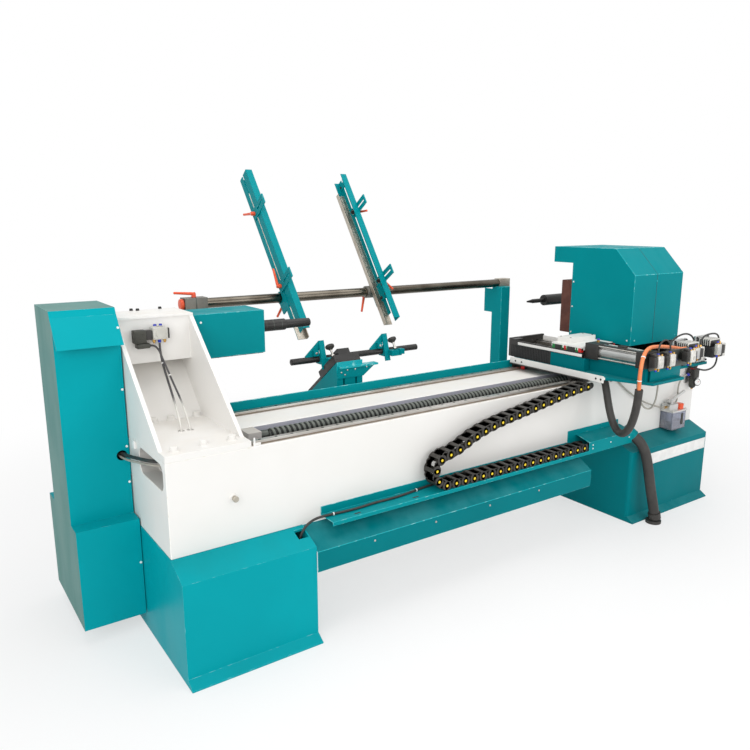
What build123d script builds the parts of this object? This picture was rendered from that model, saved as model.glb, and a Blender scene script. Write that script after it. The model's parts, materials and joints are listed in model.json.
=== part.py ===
from build123d import *
import math
import os

# Wood turning lathe with a sheet tower over the belt drive, a hollow bed, a travelling carriage
# and a feed magazine behind the bed. Millimetres, X along the bed, Y to the back, Z up.
# All places below are counted from the front left corner of the left pedestal, on the floor.

# Bed and pedestals
bed_left = 2.0
bed_right = 2800.0
bed_front = 132.0
bed_back = 560.0
bed_bottom = 390.0
bed_top = 706.0
bed_wall = 10.0
bulkhead_x = 150.0
trough_left = 300.0
trough_front = 170.0
trough_back = 345.0
trough_floor = 640.0
left_pedestal_width = 467.0
right_pedestal_left = 2178.0
pedestal_front = 34.0
pedestal_fold = 346.0
pedestal_flare = 34.0
flare_height = 26.0
pedestal_wall = 6.0
corner_radius = 18.0
inlet_front = 160.0
inlet_back = 400.0
inlet_bottom = 602.0
inlet_top = 690.0
rail_height = 15.0
rail_left = 295.0
rail_right = 2785.0
front_rail = (140.0, 163.0)
rear_rail = (497.0, 520.0)
strip_front = 546.0
strip_back = 552.0
strip_top = 749.0

# Long feed screw
screw_y = 286.0
screw_z = 687.0
screw_radius = 21.0
journal_radius = 10.0
running_gap = 0.05

# Headstock and spindle
axis_y = 705.6
axis_z = 1004.0
head_right = 287.0
base_thick = 21.5
cheek_thick = 14.0
head_top = 1086.0
head_back = 792.0
spindle_radius = 30.0
housing_radius = 62.0
box_end = 582.0
nose_start = 602.0
nose_end = 829.0

# Belt drive in the tower
tower_left = -211.0
tower_right = -3.0
tower_bottom = 60.0
tower_step = 419.0
tower_top = 1140.0
motor_z = 215.0
pulley_radius = 60.0
belt_left = -118.0
belt_right = -72.0

# Magazine
bar_y = 960.0
bar_z = 1082.0
bar_radius = 21.5
bar_left = 366.0
bar_lever_x = 426.0
clamp_screw = 5.0
bar_right = 2240.0
post_left = 2150.0
post_right = 2214.0
post_front = 907.0
post_back = 980.0
post_top = 1064.0
arm_left_x = 823.0
arm_right_x = 1345.0
# side 1 is the left arm, side -1 the right one
arm_leans = {1: 37.7, -1: 34.8}
arm_tops = {1: 640.0, -1: 615.0}
arm_feet = {1: -220.0, -1: -200.0}
guide_feet = {1: -235.0, -1: -200.0}
hub_lever_turns = {1: -40.0, -1: -28.0}
flight_places = (420.0, 24.0)
lever_turns = {"left": (-55.0, 12.0), "right": (120.0, 150.0)}

# Loader behind the bed
loader_y = 770.0
loader_z = 824.0
loader_bar_radius = 14.0
bracket_left = 912.0
bracket_right = 1043.0
bracket_back = 880.0
slope_y = 620.0
slope_z = 833.0
slope_angle = 36.6
slope_rails = (918.0, 1017.0)
slope_rail_width = 20.0
slope_rail_height = 18.0
jaw_places = (909.0, 1249.0)
jaw_width = 26.0
pad_tilt = 36.0

# Carriage, cross slide and sanding unit
saddle_left = 1867.0
saddle_right = 2560.0
saddle_back = 537.0
saddle_top = 764.0
saddle_thick = 12.0
cross_left = 1890.0
cross_right = 2125.0
cross_front = 121.0
cross_back = 573.0
cross_top = 854.0
hood_left = 2137.0
hood_right = 2505.0
hood_front = 61.0
hood_back = 416.0
hood_bottom = 861.0
hood_top = 1296.0
sheet = 3.0
piston_x = 2159.0
piston_z = 792.0
piston_radius = 8.0
piston_front = 70.0
motor_places = (2335.0, 2510.0)
valve_places = (1935.0, 2018.0, 2166.0)
feed_piston_x = 1947.0
feed_piston_z = 857.0
slide_front = 132.0
slide_back = 302.0

# Tailstock
tail_tip = 2138.0
quill_start = 2264.0
quill_radius = 28.5
tailstock_left = 2560.0
tailstock_right = 2790.0
shelf_right = 2870.0

# Hand pump for the oil
lever_pin_x = 2552.0
lever_pin_z = 530.0
lever_pin_radius = 4.0

# Chain and tray
chain_pitch = 47.0
chain_height = 34.0
chain_link = 44.0
chain_front = 50.0
chain_back = 110.0
tray_left = 540.0
cover_left = 1881.0
cover_right = 2188.0
gland_length = 58.0


def block(x0, x1, y0, y1, z0, z1):
    centre = Pos((x0 + x1) / 2, (y0 + y1) / 2, (z0 + z1) / 2)
    return centre * Box(x1 - x0, y1 - y0, z1 - z0)


def rod_x(x0, x1, y, z, radius):
    return Pos((x0 + x1) / 2, y, z) * Rot(0, 90, 0) * Cylinder(radius, x1 - x0)


def rod_y(y0, y1, x, z, radius):
    return Pos(x, (y0 + y1) / 2, z) * Rot(90, 0, 0) * Cylinder(radius, y1 - y0)


def rod_z(z0, z1, x, y, radius):
    return Pos(x, y, (z0 + z1) / 2) * Cylinder(radius, z1 - z0)


def prism_x(outline, x0, x1):
    plane = Plane(origin=(x0, 0, 0), x_dir=(0, 1, 0), z_dir=(1, 0, 0))
    return extrude(plane * Polygon(*outline, align=None), x1 - x0, dir=(1, 0, 0))


def prism_y(outline, y0, y1):
    plane = Plane(origin=(0, y1, 0), x_dir=(1, 0, 0), z_dir=(0, -1, 0))
    return extrude(plane * Polygon(*outline, align=None), y1 - y0, dir=(0, -1, 0))


def prism_z(outline, z0, z1):
    return extrude(Plane.XY.offset(z0) * Polygon(*outline, align=None), z1 - z0, dir=(0, 0, 1))


def group(*solids):
    return Compound(children=list(solids))


def make_bed():
    body = block(bed_left, bed_right, bed_front, bed_back, bed_bottom, bed_top)
    body -= block(trough_left, bed_right + 1, trough_front, trough_back, trough_floor, bed_top + 1)
    low = bed_bottom + bed_wall
    inner_front = bed_front + bed_wall
    inner_back = bed_back - bed_wall
    inner_right = bed_right - bed_wall
    body -= block(bulkhead_x + bed_wall, inner_right, inner_front, inner_back, low, trough_floor - bed_wall)
    body -= block(bulkhead_x + bed_wall, inner_right, trough_back + bed_wall, inner_back,
                  trough_floor - 2 * bed_wall, bed_top - bed_wall)
    body -= block(bed_left + bed_wall, bulkhead_x, inner_front, inner_back, low, bed_top - bed_wall)
    inlet = block(bed_left - 5, bed_left + bed_wall + 5, inlet_front, inlet_back, inlet_bottom, inlet_top)
    body -= fillet(inlet.edges().filter_by(Axis.X), 30)
    lifting_pin = rod_y(bed_front - 16, bed_front + 4, 218, 548, 12.5)
    oil_clip = block(2100, 2112, bed_front - 11, bed_front + 1, 688, 705)
    return body + lifting_pin + oil_clip


def make_rails():
    rails = []
    for front, back in (front_rail, rear_rail):
        rails.append(block(rail_left, rail_right, front, back, bed_top, bed_top + rail_height))
    return group(*rails)


def make_pedestal(x0, x1):
    outer = [(pedestal_front, 0), (pedestal_front, pedestal_fold), (bed_front, bed_bottom),
             (bed_back, bed_bottom), (bed_back, 0)]
    wall = pedestal_wall
    inner = [(pedestal_front + wall, wall), (pedestal_front + wall, pedestal_fold - wall),
             (bed_front + wall, bed_bottom - wall), (bed_back - wall, bed_bottom - wall),
             (bed_back - wall, wall)]
    shell = prism_x(outer, x0, x1) - prism_x(inner, x0 + wall, x1 - wall)
    lip = wall - 1
    front_flare = [(pedestal_front, flare_height), (0, lip), (0, 0), (pedestal_front, 0)]
    rear = bed_back + pedestal_flare
    rear_flare = [(bed_back, flare_height), (bed_back, 0), (rear, 0), (rear, lip)]
    return shell + prism_x(front_flare, x0, x1) + prism_x(rear_flare, x0, x1)


def make_left_pedestal():
    cable_hole = block(424, 462, 80, 118, pedestal_fold, bed_bottom)
    return make_pedestal(0, left_pedestal_width) - cable_hole


def make_right_pedestal():
    pedestal = make_pedestal(right_pedestal_left, bed_right)
    corner = block(right_pedestal_left - 1, right_pedestal_left + corner_radius, pedestal_front - 1,
                   pedestal_front + corner_radius, flare_height, bed_bottom)
    corner -= rod_z(flare_height, bed_bottom, right_pedestal_left + corner_radius,
                    pedestal_front + corner_radius, corner_radius)
    return pedestal - corner


def make_chip_panel():
    outline = [(bed_front, bed_bottom), (28, 328), (28, 253), (31, 253), (31, 326), (bed_front, 386)]
    return prism_x(outline, left_pedestal_width, cover_left)


def make_tray():
    outline = [(bed_front, 440), (129, 440), (129, 411), (47, 411), (47, 396), (50, 396), (50, 408),
               (bed_front, 408)]
    return prism_x(outline, tray_left, cover_left)


def make_tray_cover():
    outer = [(47, 396), (47, 452), (118, 470), (129, 470), (129, 492), (bed_front, 492), (bed_front, 396)]
    inner = [(50, 399), (50, 449), (118, 466.5), (129, 466.5), (129, 399)]
    shell = prism_x(outer, cover_left, cover_right)
    shell -= prism_x(inner, cover_left - 1, cover_right - sheet)
    back_lip = block(1830, cover_left, 129, bed_front, 440, 492)
    mouth = Vector(*floor_conduit_route[0])
    ahead = (Vector(*floor_conduit_route[1]) - mouth).normalized()
    gland = Plane(origin=mouth, z_dir=ahead) * Pos(0, 0, -gland_length / 2) * Cylinder(28, gland_length)
    return shell + back_lip + gland


def make_screw_supports():
    supports = []
    bore = rod_x(trough_left, bed_right + 40, screw_y, screw_z, journal_radius + running_gap)
    for left in (330, 2690):
        pillow = block(left, left + 50, screw_y - 36, screw_y + 36, trough_floor, screw_z + 26)
        supports.append(pillow - bore)
    plate = block(bed_right, bed_right + 12, screw_y - 50, screw_y + 50, trough_floor, screw_z + 50)
    motor = block(bed_right + 12, bed_right + 105, screw_y - 43, screw_y + 43, screw_z - 43, screw_z + 43)
    motor = fillet(motor.edges().filter_by(Axis.X), 8)
    supports.append(plate + motor - bore)
    return group(*supports)


def make_ball_screw():
    journal = rod_x(315, bed_right + 30, screw_y, screw_z, journal_radius)
    neck = rod_x(381, 422, screw_y, screw_z, screw_radius - 3)
    thread = rod_x(420, 2660, screw_y, screw_z, screw_radius)
    return journal + neck + thread


def make_headstock_frame():
    floor = bed_top + base_thick
    frame = block(bed_left, head_right, bed_front, bed_back, bed_top, floor)
    knee = head_back - 541 + floor
    cheek = [(189, floor), (602, head_top), (head_back, head_top), (head_back, knee), (541, floor)]
    frame += prism_x(cheek, bed_left, bed_left + cheek_thick)
    frame += prism_x(cheek, head_right - cheek_thick, head_right)
    wall = [(541, floor), (head_back, knee), (head_back, head_top), (head_back - 12, head_top),
            (head_back - 12, knee + 5), (541 - 17, floor)]
    frame += prism_x(wall, bed_left, head_right)
    frame += block(bed_left, head_right, 606, 614, 935, head_top)
    frame += block(bed_left, head_right, 606, 745, 927, 935)
    frame += block(bed_left, head_right, 600, head_back, head_top, head_top + 8)
    housing = rod_x(head_right - 90, box_end - 4, axis_y, axis_z, housing_radius)
    frame += housing
    frame -= rod_x(head_right - 95, box_end, axis_y, axis_z, spindle_radius + running_gap)
    frame -= rod_x(bed_left - 1, bed_left + cheek_thick + 1, axis_y, axis_z, 45)
    for x, y in ((140, 371), (170, 366)):
        frame -= rod_z(bed_top - 1, floor + 1, x, y, 12)
    for x, y in ((45, 171), (145, 180), (240, 179), (95, 520), (155, 522), (250, 520)):
        frame += rod_z(floor - 1, floor + 16, x, y, 13)
    return frame


def make_spindle_box():
    box = block(head_right, box_end, 619, head_back, 914, 1082)
    box -= block(head_right - 1, box_end - sheet, 622, head_back - sheet, 917, 1079)
    box -= rod_x(box_end - 5, box_end + 1, axis_y, axis_z, 34)
    box -= block(head_right + 20, head_right + 180, 640, 700, 913, 918)
    return box


def make_spindle_shaft():
    drive_end = rod_x(-135, 150, axis_y, axis_z, 22)
    body = rod_x(149, nose_start, axis_y, axis_z, spindle_radius)
    pulley = rod_x(belt_left - 4, belt_right + 4, axis_y, axis_z, pulley_radius)
    pulley += rod_x(belt_left - 7, belt_left - 1, axis_y, axis_z, pulley_radius + 9)
    pulley += rod_x(belt_right + 1, belt_right + 7, axis_y, axis_z, pulley_radius + 9)
    return drive_end + body + pulley


def make_spindle_nose():
    straight = rod_x(nose_start, 714, axis_y, axis_z, 23.5)
    taper = Pos((714 + nose_end) / 2, axis_y, axis_z) * Rot(0, 90, 0) * Cone(19, 17, nose_end - 714)
    return straight + taper


def make_tower():
    # hangs on the bed's end: a deeper box below, a sloped flap over the front of the upper part
    cover = block(tower_left, tower_right, 438, 870, tower_bottom, tower_step)
    upper_outline = [(505, tower_step), (505, 1082), (532, 1117.5), (544, tower_top), (782, tower_top),
                     (782, tower_step)]
    cover += prism_x(upper_outline, tower_left, tower_right)
    cover += prism_x([(460, 1024), (532, 1118), (536, 1118), (464, 1024)], tower_left, tower_right)
    cover += block(tower_right, bed_left, 512, 552, 560, 690)
    room_left = tower_left + sheet
    room_right = tower_right - sheet
    room_outline = [(508, 410), (508, 1081), (546, 1131), (546, tower_top - sheet), (779, tower_top - sheet),
                    (779, 410)]
    cover -= block(room_left, room_right, 441, 867, tower_bottom + sheet, tower_step - sheet)
    cover -= prism_x(room_outline, room_left, room_right)
    cover -= rod_x(tower_right - 5, tower_right + 1, axis_y, axis_z, 45)
    cover -= rod_x(tower_right - 5, tower_right + 1, axis_y, motor_z, 40)
    cover -= rod_y(503, 510, -27, 634, 18)
    return cover


def make_main_motor():
    flange = block(tower_right, 14, axis_y - 105, axis_y + 105, motor_z - 105, motor_z + 105)
    body = rod_x(14, 290, axis_y, motor_z, 88)
    body += rod_x(290, 315, axis_y, motor_z, 80)
    body += block(60, 200, axis_y - 45, axis_y + 45, motor_z + 80, motor_z + 130)
    body += block(40, 270, axis_y - 100, axis_y + 100, motor_z - 115, motor_z - 75)
    stand = block(60, 250, axis_y - 90, axis_y + 90, 0, motor_z - 115)
    bore = rod_x(tower_right - 1, 60, axis_y, motor_z, 14 + running_gap)
    return flange + body + stand - bore


def make_motor_pulley():
    shaft = rod_x(-135, 58, axis_y, motor_z, 14)
    pulley = rod_x(belt_left - 4, belt_right + 4, axis_y, motor_z, pulley_radius)
    pulley += rod_x(belt_left - 7, belt_left - 1, axis_y, motor_z, pulley_radius + 9)
    pulley += rod_x(belt_right + 1, belt_right + 7, axis_y, motor_z, pulley_radius + 9)
    return shaft + pulley


def make_drive_belt():
    inside = pulley_radius + 0.4
    outside = pulley_radius + 7
    span = axis_z - motor_z

    def loop(radius):
        ends = rod_x(belt_left, belt_right, axis_y, axis_z, radius)
        ends += rod_x(belt_left, belt_right, axis_y, motor_z, radius)
        return ends + block(belt_left, belt_right, axis_y - radius, axis_y + radius, motor_z, motor_z + span)

    return loop(outside) - loop(inside)


def make_head_valve():
    plate_face = 606.0
    valve = block(127, 180, plate_face - 40, plate_face, 1010, 1056)
    valve += block(104, 127, plate_face - 33, plate_face - 4, 1012, 1046)
    valve += block(62, 104, plate_face - 38, plate_face - 2, 1000, 1048)
    valve += block(70, 114, plate_face - 40, plate_face - 6, 984, 1000)
    valve += block(180, 187, plate_face - 36, plate_face - 4, 1013, 1050)
    for x in (134, 153, 172):
        valve += rod_z(998, 1011, x, plate_face - 22, 5)
    for x in (140, 160):
        valve += rod_z(1055, 1066, x, plate_face - 22, 6.5)
    return valve


def make_bar_clamp():
    clamp = block(200, 475, head_back, head_back + 8, 1000, 1078)
    clamp += block(378, 475, head_back + 8, bar_y + 30, 1040, 1054)
    clamp += block(378, 475, bar_y - 30, bar_y + 30, 1054, 1109)
    clamp -= rod_x(370, 480, bar_y, bar_z, bar_radius + 0.02)
    return clamp - rod_z(bar_z, 1110, bar_lever_x, bar_y, clamp_screw + running_gap)


def make_bar_lever():
    tip_x = bar_lever_x - 84
    lever = rod_z(1109.4, 1134, bar_lever_x, bar_y, 10)
    lever += rod_z(bar_z + bar_radius + 0.3, 1110, bar_lever_x, bar_y, clamp_screw)
    outline = [(bar_lever_x, bar_y - 8), (tip_x, bar_y - 5), (tip_x, bar_y + 5), (bar_lever_x, bar_y + 8)]
    return lever + prism_z(outline, 1128, 1140)


def make_support_bar():
    return rod_x(bar_left, bar_right, bar_y, bar_z, bar_radius)


def make_support_post():
    wall = 5
    post = block(post_left, post_right, post_front, post_back, 420, post_top)
    post -= block(post_left + wall, post_right - wall, post_front + wall, post_back - wall, 425, post_top - 10)
    post += block(post_left, post_left + 6, post_back - 2, 1041, 920, 1050)
    post += block(post_left, post_right, bed_back, post_front + 2, 420, 500)
    post += block(post_left + 17, post_right - 17, bed_back, post_front + 2, 500, 560)
    return post - rod_x(post_left - 1, post_right + 1, bar_y, bar_z, bar_radius + 0.02)


def arm_block(arm_x, side, along, out, across):
    lean = math.radians(arm_leans[side])
    plane = Plane(origin=(arm_x, bar_y, bar_z), x_dir=(0, math.sin(lean), math.cos(lean)), z_dir=(1, 0, 0))
    near, far = sorted((side * across[0], side * across[1]))
    middle = Pos((along[0] + along[1]) / 2, (out[0] + out[1]) / 2, (near + far) / 2)
    return plane * middle * Box(along[1] - along[0], out[1] - out[0], far - near)


def arm_pin(arm_x, side, along, out, across, radius):
    lean = math.radians(arm_leans[side])
    plane = Plane(origin=(arm_x, bar_y, bar_z), x_dir=(0, math.sin(lean), math.cos(lean)), z_dir=(1, 0, 0))
    middle = Pos(along, out, side * (across[0] + across[1]) / 2)
    return plane * middle * Cylinder(radius, abs(across[1] - across[0]))


def make_arm(arm_x, side):
    # two slotted strips, each an angle iron, joined by the hub plate and a tie near the top,
    # and a plain strip with a lip that the blank rolls on
    top = arm_tops[side]
    arm = arm_block(arm_x, side, (-150, top), (26, 56), (-2, 2))
    arm += arm_block(arm_x, side, (-150, top), (26, 30), (-2, 26))
    arm += arm_block(arm_x, side, (arm_feet[side], top), (66, 108), (-2, 2))
    arm += arm_block(arm_x, side, (arm_feet[side], top), (104, 108), (-2, 30))
    arm += arm_block(arm_x, side, (-75, 8), (-20, 100), (2, 10))
    arm += arm_block(arm_x, side, (top - 50, top - 20), (30, 104), (2, 6))
    arm += arm_block(arm_x, side, (guide_feet[side], top - 80), (30, 34), (-2, 46))
    arm += arm_block(arm_x, side, (guide_feet[side], top - 80), (34, 52), (42, 46))
    arm += arm_pin(arm_x, side, 0, 0, (2, 26), 29)
    arm -= rod_x(arm_x - 60, arm_x + 60, bar_y, bar_z, bar_radius + running_gap)
    return arm


def clamp_stud(arm_x, side, near, far, radius):
    # round stud square to the arm, over the middle of the collar
    lean = math.radians(arm_leans[side])
    out = (0, -math.cos(lean), math.sin(lean))
    plane = Plane(origin=(arm_x + side * 42, bar_y, bar_z), x_dir=(1, 0, 0), z_dir=out)
    return plane * Pos(0, 0, (near + far) / 2) * Cylinder(radius, far - near)


def make_collar(arm_x, side):
    ring = arm_pin(arm_x, side, 0, 0, (26.4, 58), 29)
    ring -= clamp_stud(arm_x, side, -32, 0, clamp_screw + running_gap)
    return ring - rod_x(arm_x - 80, arm_x + 80, bar_y, bar_z, bar_radius + running_gap)


def make_hub_lever(arm_x, side):
    stud = clamp_stud(arm_x, side, -56, -29.4, 8) + clamp_stud(arm_x, side, -30, -bar_radius - 0.3, clamp_screw)
    lean = math.radians(arm_leans[side])
    turn_axis = Axis((arm_x + side * 42, bar_y, bar_z), (0, -math.cos(lean), math.sin(lean)))
    grip = arm_block(arm_x, side, (-92, 0), (-56, -46), (37, 47))
    return stud + grip.rotate(turn_axis, hub_lever_turns[side])


def make_flight(arm_x, side, place, lever_turn):
    # slotted stop plate with its clamp screw and lever
    plate = arm_block(arm_x, side, (place - 24, place + 24), (42, 176), (-8.5, -2.4))
    plate -= arm_block(arm_x, side, (place - 5, place + 5), (92, 164), (-10, 0))
    screw = arm_pin(arm_x, side, place, 61, (-9, 5), 4.4)
    nut = arm_pin(arm_x, side, place, 61, (2.4, 14), 9)
    lever = arm_pin(arm_x, side, place, 61, (-30, -8.5), 10)
    grip = arm_block(arm_x, side, (place, place + 84), (55, 67), (-30, -19))
    centre = arm_pin(arm_x, side, place, 61, (-1, 1), 1).center()
    grip = grip.rotate(Axis(centre, (1, 0, 0)), lever_turn)
    return plate + screw + nut + lever + grip


def make_loader_bracket():
    # hollow stand with a sloped back, a wide plate with a lip on its front and two rails on the slope
    fall = math.tan(math.radians(slope_angle))
    wall = 8
    skin = wall / math.cos(math.radians(slope_angle))
    outer = [(bed_back, 560), (bed_back, 700), (slope_y, 700), (slope_y, slope_z),
             (bracket_back, slope_z - (bracket_back - slope_y) * fall), (bracket_back, 560)]
    inner = [(bed_back + wall, 550), (bed_back + wall, 700 - wall), (slope_y + wall, 700 - wall),
             (slope_y + wall, slope_z - skin - wall * fall),
             (bracket_back - wall, slope_z - skin - (bracket_back - wall - slope_y) * fall),
             (bracket_back - wall, 550)]
    bracket = prism_x(outer, bracket_left, bracket_right)
    bracket -= prism_x(inner, bracket_left + wall, bracket_right - wall)
    for left in (944, 1006):
        bracket -= block(left, left + 9, slope_y - 1, slope_y + wall + 1, 715, 758)
    plate = [(bracket_left, 762), (bracket_right, 762), (1112, 812), (920, 812)]
    bracket += prism_y(plate, slope_y - wall, slope_y + 1)
    bracket += block(920, 1112, slope_y - 22, slope_y + 14, 806, 814)
    for left in slope_rails:
        bracket += loader_block(left, left + slope_rail_width, (10, 318), (-1, slope_rail_height))
    return bracket


def loader_block(x0, x1, along, above):
    # block on the slope: along runs down to the back, above stands square to the slope
    lean = math.radians(slope_angle)
    plane = Plane(origin=(0, slope_y, slope_z), x_dir=(0, math.cos(lean), -math.sin(lean)), z_dir=(1, 0, 0))
    middle = Pos((along[0] + along[1]) / 2, (above[0] + above[1]) / 2, (x0 + x1) / 2)
    return plane * middle * Box(along[1] - along[0], above[1] - above[0], x1 - x0)


def make_loader_slide():
    # black carriage on the two sloped rails, with a bearing block and two jaws on the bar
    slide = loader_block(bracket_left + 2, bracket_right - 2, (10, 170), (4, 40))
    for left in slope_rails:
        slide -= loader_block(left - 0.4, left + slope_rail_width + 0.4, (0, 180), (0, slope_rail_height + 0.4))
    slide += loader_block(1000, 1062, (98, 154), (39, 108))
    for left in jaw_places:
        right = left + jaw_width
        strip = [(loader_y - 39, loader_z - 40), (loader_y - 31, loader_z - 42), (loader_y + 3, loader_z + 81),
                 (loader_y - 5, loader_z + 83)]
        slide += prism_x(strip, left, right)
        slide += block(left, right, loader_y - 22, loader_y + 22, loader_z - 22, loader_z + 22)
        gusset = [(left + 2, loader_z + 80), (left + 2, loader_z + 4), (left - 66, loader_z + 4),
                  (left - 66, loader_z + 18)]
        slide += prism_y(gusset, loader_y - 4, loader_y + 4)
        slide += block(left - 31, left - 7, loader_y - 18, loader_y - 3, loader_z + 18, loader_z + 42)
        slide += block(right - 6, right + 50, loader_y - 58, loader_y - 26, loader_z - 18, loader_z + 8)
        slide += block(right + 38, right + 62, loader_y - 64, loader_y - 38, loader_z - 12, loader_z + 12)
    return slide - rod_x(700, 1500, loader_y, loader_z, loader_bar_radius + 0.02)


def make_loader_bar():
    # bar with two rubber feet, each on a tilted screw that stands on its jaw
    lean = math.radians(pad_tilt)
    solids = [rod_x(772, 1455, loader_y, loader_z, loader_bar_radius)]
    for left in jaw_places:
        foot = (left + 53, loader_y - 42, loader_z + 8)
        plane = Plane(origin=foot, x_dir=(1, 0, 0), z_dir=(0, math.sin(lean), math.cos(lean)))
        stem = plane * Pos(0, 0, 24) * Cylinder(5, 40)
        neck = plane * Pos(0, 0, 44) * Cone(10, 20, 10)
        pad = plane * Pos(0, 0, 54) * Cylinder(20, 12)
        solids.append(stem + neck + pad)
    return group(*solids)


def make_saddle():
    outline = [(saddle_left, saddle_back), (saddle_left, -20), (1939, -205), (2160, -205), (2160, -70),
               (saddle_right, -70), (saddle_right, saddle_back)]
    saddle = prism_z(outline, saddle_top - saddle_thick, saddle_top)
    saddle += block(saddle_left - 8, saddle_left, -15, saddle_back, saddle_top - 26, saddle_top + 4)
    for left in (2200, 2440):
        saddle += block(left, left + 20, 75, 520, saddle_top, saddle_top + 18)
    saddle += block(1930, 1985, -172, cross_front - 7, saddle_top, 822)
    chain_bracket = block(1915, 1990, 52, 108, 722, saddle_top - saddle_thick)
    return saddle + chain_bracket


def make_bed_blocks():
    under = saddle_top - saddle_thick
    over = bed_top + rail_height + 0.4
    solids = []
    for left in (1890, 2420):
        for front, back in (front_rail, rear_rail):
            shoe = block(left, left + 100, front - 16, back + 16, bed_top + 4, under)
            solids.append(shoe - block(left - 1, left + 101, front - 0.4, back + 0.4, bed_top, over))
    nut = block(2040, 2120, screw_y - 38, screw_y + 38, screw_z - 34, under)
    nut -= rod_x(2030, 2130, screw_y, screw_z, screw_radius + running_gap)
    solids.append(nut)
    return group(*solids)


def make_cross_base():
    rear = cross_back - 8
    base = block(cross_left + 10, cross_right - 10, cross_front + 8, rear, saddle_top, 812)
    base += block(cross_left, cross_right, cross_front - 6, cross_front + 8, saddle_top, 820)
    base += block(cross_left, cross_right, rear, rear + 14, saddle_top, cross_top)
    base += block(cross_left, cross_left + 50, rear - 34, rear, saddle_top, cross_top - 2)
    for left in (cross_left + 24, cross_right - 44):
        base += block(left, left + 20, cross_front + 8, rear, 812, 830)
    base += block(cross_left, cross_left + 6, cross_front + 8, rear, 824, 846)
    base += block(cross_right - 6, cross_right, cross_front + 8, rear, 824, 846)
    return base + block(cross_left + 1, cross_left + 10, cross_front + 8, rear, saddle_top, 824)


def make_tool_slide():
    # plate on two shoes, with a tool block and the piston rod that pushes it
    slide = block(cross_left + 16, cross_right - 16, slide_front, slide_back - 12, 830.4, 846)
    for left in (cross_left + 18, cross_right - 50):
        shoe = block(left, left + 32, slide_front + 2, slide_back - 16, 814, 831)
        slide += shoe - block(left + 5.6, left + 26.4, slide_front - 10, slide_back, 811, 830.4)
    slide += block(cross_left - 4, cross_right - 15, slide_front, slide_back, 855, 873)
    slide += block(cross_left + 30, cross_right - 30, slide_front, slide_back, 845, 856)
    slide += block(cross_left + 30, cross_right - 30, 222, 298, 872, 896)
    return slide + rod_y(-100, slide_front + 2, feed_piston_x, feed_piston_z, piston_radius)


def make_hood():
    side = [(hood_front, hood_bottom), (hood_front, 1181), (173, hood_top), (534, hood_top), (534, 1220),
            (hood_back, 1220), (hood_back, hood_bottom)]
    room = [(hood_front + sheet, hood_bottom - 1), (hood_front + sheet, 1180), (174, hood_top - sheet),
            (535, hood_top - sheet), (535, 1219), (hood_back + 1, 1219), (hood_back + 1, hood_bottom - 1)]
    return prism_x(side, hood_left, hood_right) - prism_x(room, hood_left + sheet, hood_right - sheet)


def make_sander_frame():
    floor = saddle_top + 18.4
    inside = hood_left + sheet
    frame = block(2190, 2482, 80, 396, floor, floor + 14)
    for left in (2193, 2433):
        shoe = block(left, left + 34, 100, 396, saddle_top + 2, floor + 1)
        frame += shoe - block(left + 6.6, left + 27.4, 90, 410, saddle_top, floor)
    frame += block(2240, 2400, 300, 380, floor + 14, 1180)
    frame += block(2200, 2440, 376, 400, 900, 1110)
    frame += block(inside, 2192, 290, 396, floor + 2, floor + 14)
    frame += block(inside, inside + 10, 290, 396, floor + 2, hood_bottom + 30)
    frame += block(hood_right - sheet - 26, hood_right - sheet, 80, 396, floor + 2, hood_bottom + 30)
    frame += rod_y(piston_front, 296, piston_x, piston_z, piston_radius)
    return frame + block(piston_x - 15, piston_x + 19, 288, 300, 768, piston_z + 10)


def make_sanding_pad():
    pad = block(2156, 2480, 400, 493, 875, 1133)
    return fillet(pad.edges().filter_by(Axis.X).sort_by(Axis.Y)[2:], 4)


def make_air_cylinders():
    # one beside the cross slide for the sanding unit, one on the front for the tool slide
    barrel = 26
    cap = 29
    rear = block(piston_x - barrel, piston_x + barrel, 66, 262, saddle_top, piston_z + barrel)
    for front in (50, 262):
        rear += block(piston_x - cap, piston_x + cap, front, front + 16, saddle_top, piston_z + cap)
    rear -= rod_y(piston_front - 2, 280, piston_x, piston_z, piston_radius + running_gap)
    width = 43
    feed = block(feed_piston_x - width, feed_piston_x + width, 84, 126, 822, 892)
    feed += block(feed_piston_x - width, feed_piston_x + width, -178, -135, 822, 892)
    feed += rod_y(-136, 85, feed_piston_x, feed_piston_z, 32)
    feed -= rod_y(-137, 127, feed_piston_x, feed_piston_z, piston_radius + running_gap)
    return group(rear, feed)


def make_valve_bank():
    bank = block(1930, 2205, -186, -180, 812, 886)
    bank += block(1945, 2155, -186, -180, saddle_top, 812)
    for left in valve_places:
        bank += block(left, left + 36, -226, -186, 828, 878)
        bank += block(left - 22, left, -220, -192, 832, 876)
        bank += rod_z(877, 889, left + 18, -206, 6)
        for fitting in (left + 9, left + 27):
            bank += rod_z(812, 829, fitting, -206, 5)
    return bank


def make_feed_motors():
    solids = []
    for centre in motor_places:
        motor = block(centre - 43, centre + 43, -150, -62, 800, 886)
        motor = fillet(motor.edges().filter_by(Axis.Y), 12)
        motor += block(centre - 50, centre + 50, -62, -50, saddle_top, 893)
        motor += rod_y(-164, -149, centre, 843, 34)
        motor += block(centre + 42, centre + 75, -140, -80, 800, 862)
        solids.append(motor)
    return group(*solids)


def make_tailstock_shelf():
    shelf = block(2250, shelf_right, bed_back, 810, 600, 639.6)
    rib = [(bed_back, 600), (bed_back, 430), (bed_back + 20, 430), (800, 585), (800, 600)]
    for left in (2262, 2550, 2840):
        shelf += prism_x(rib, left, left + 14)
    return shelf


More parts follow.
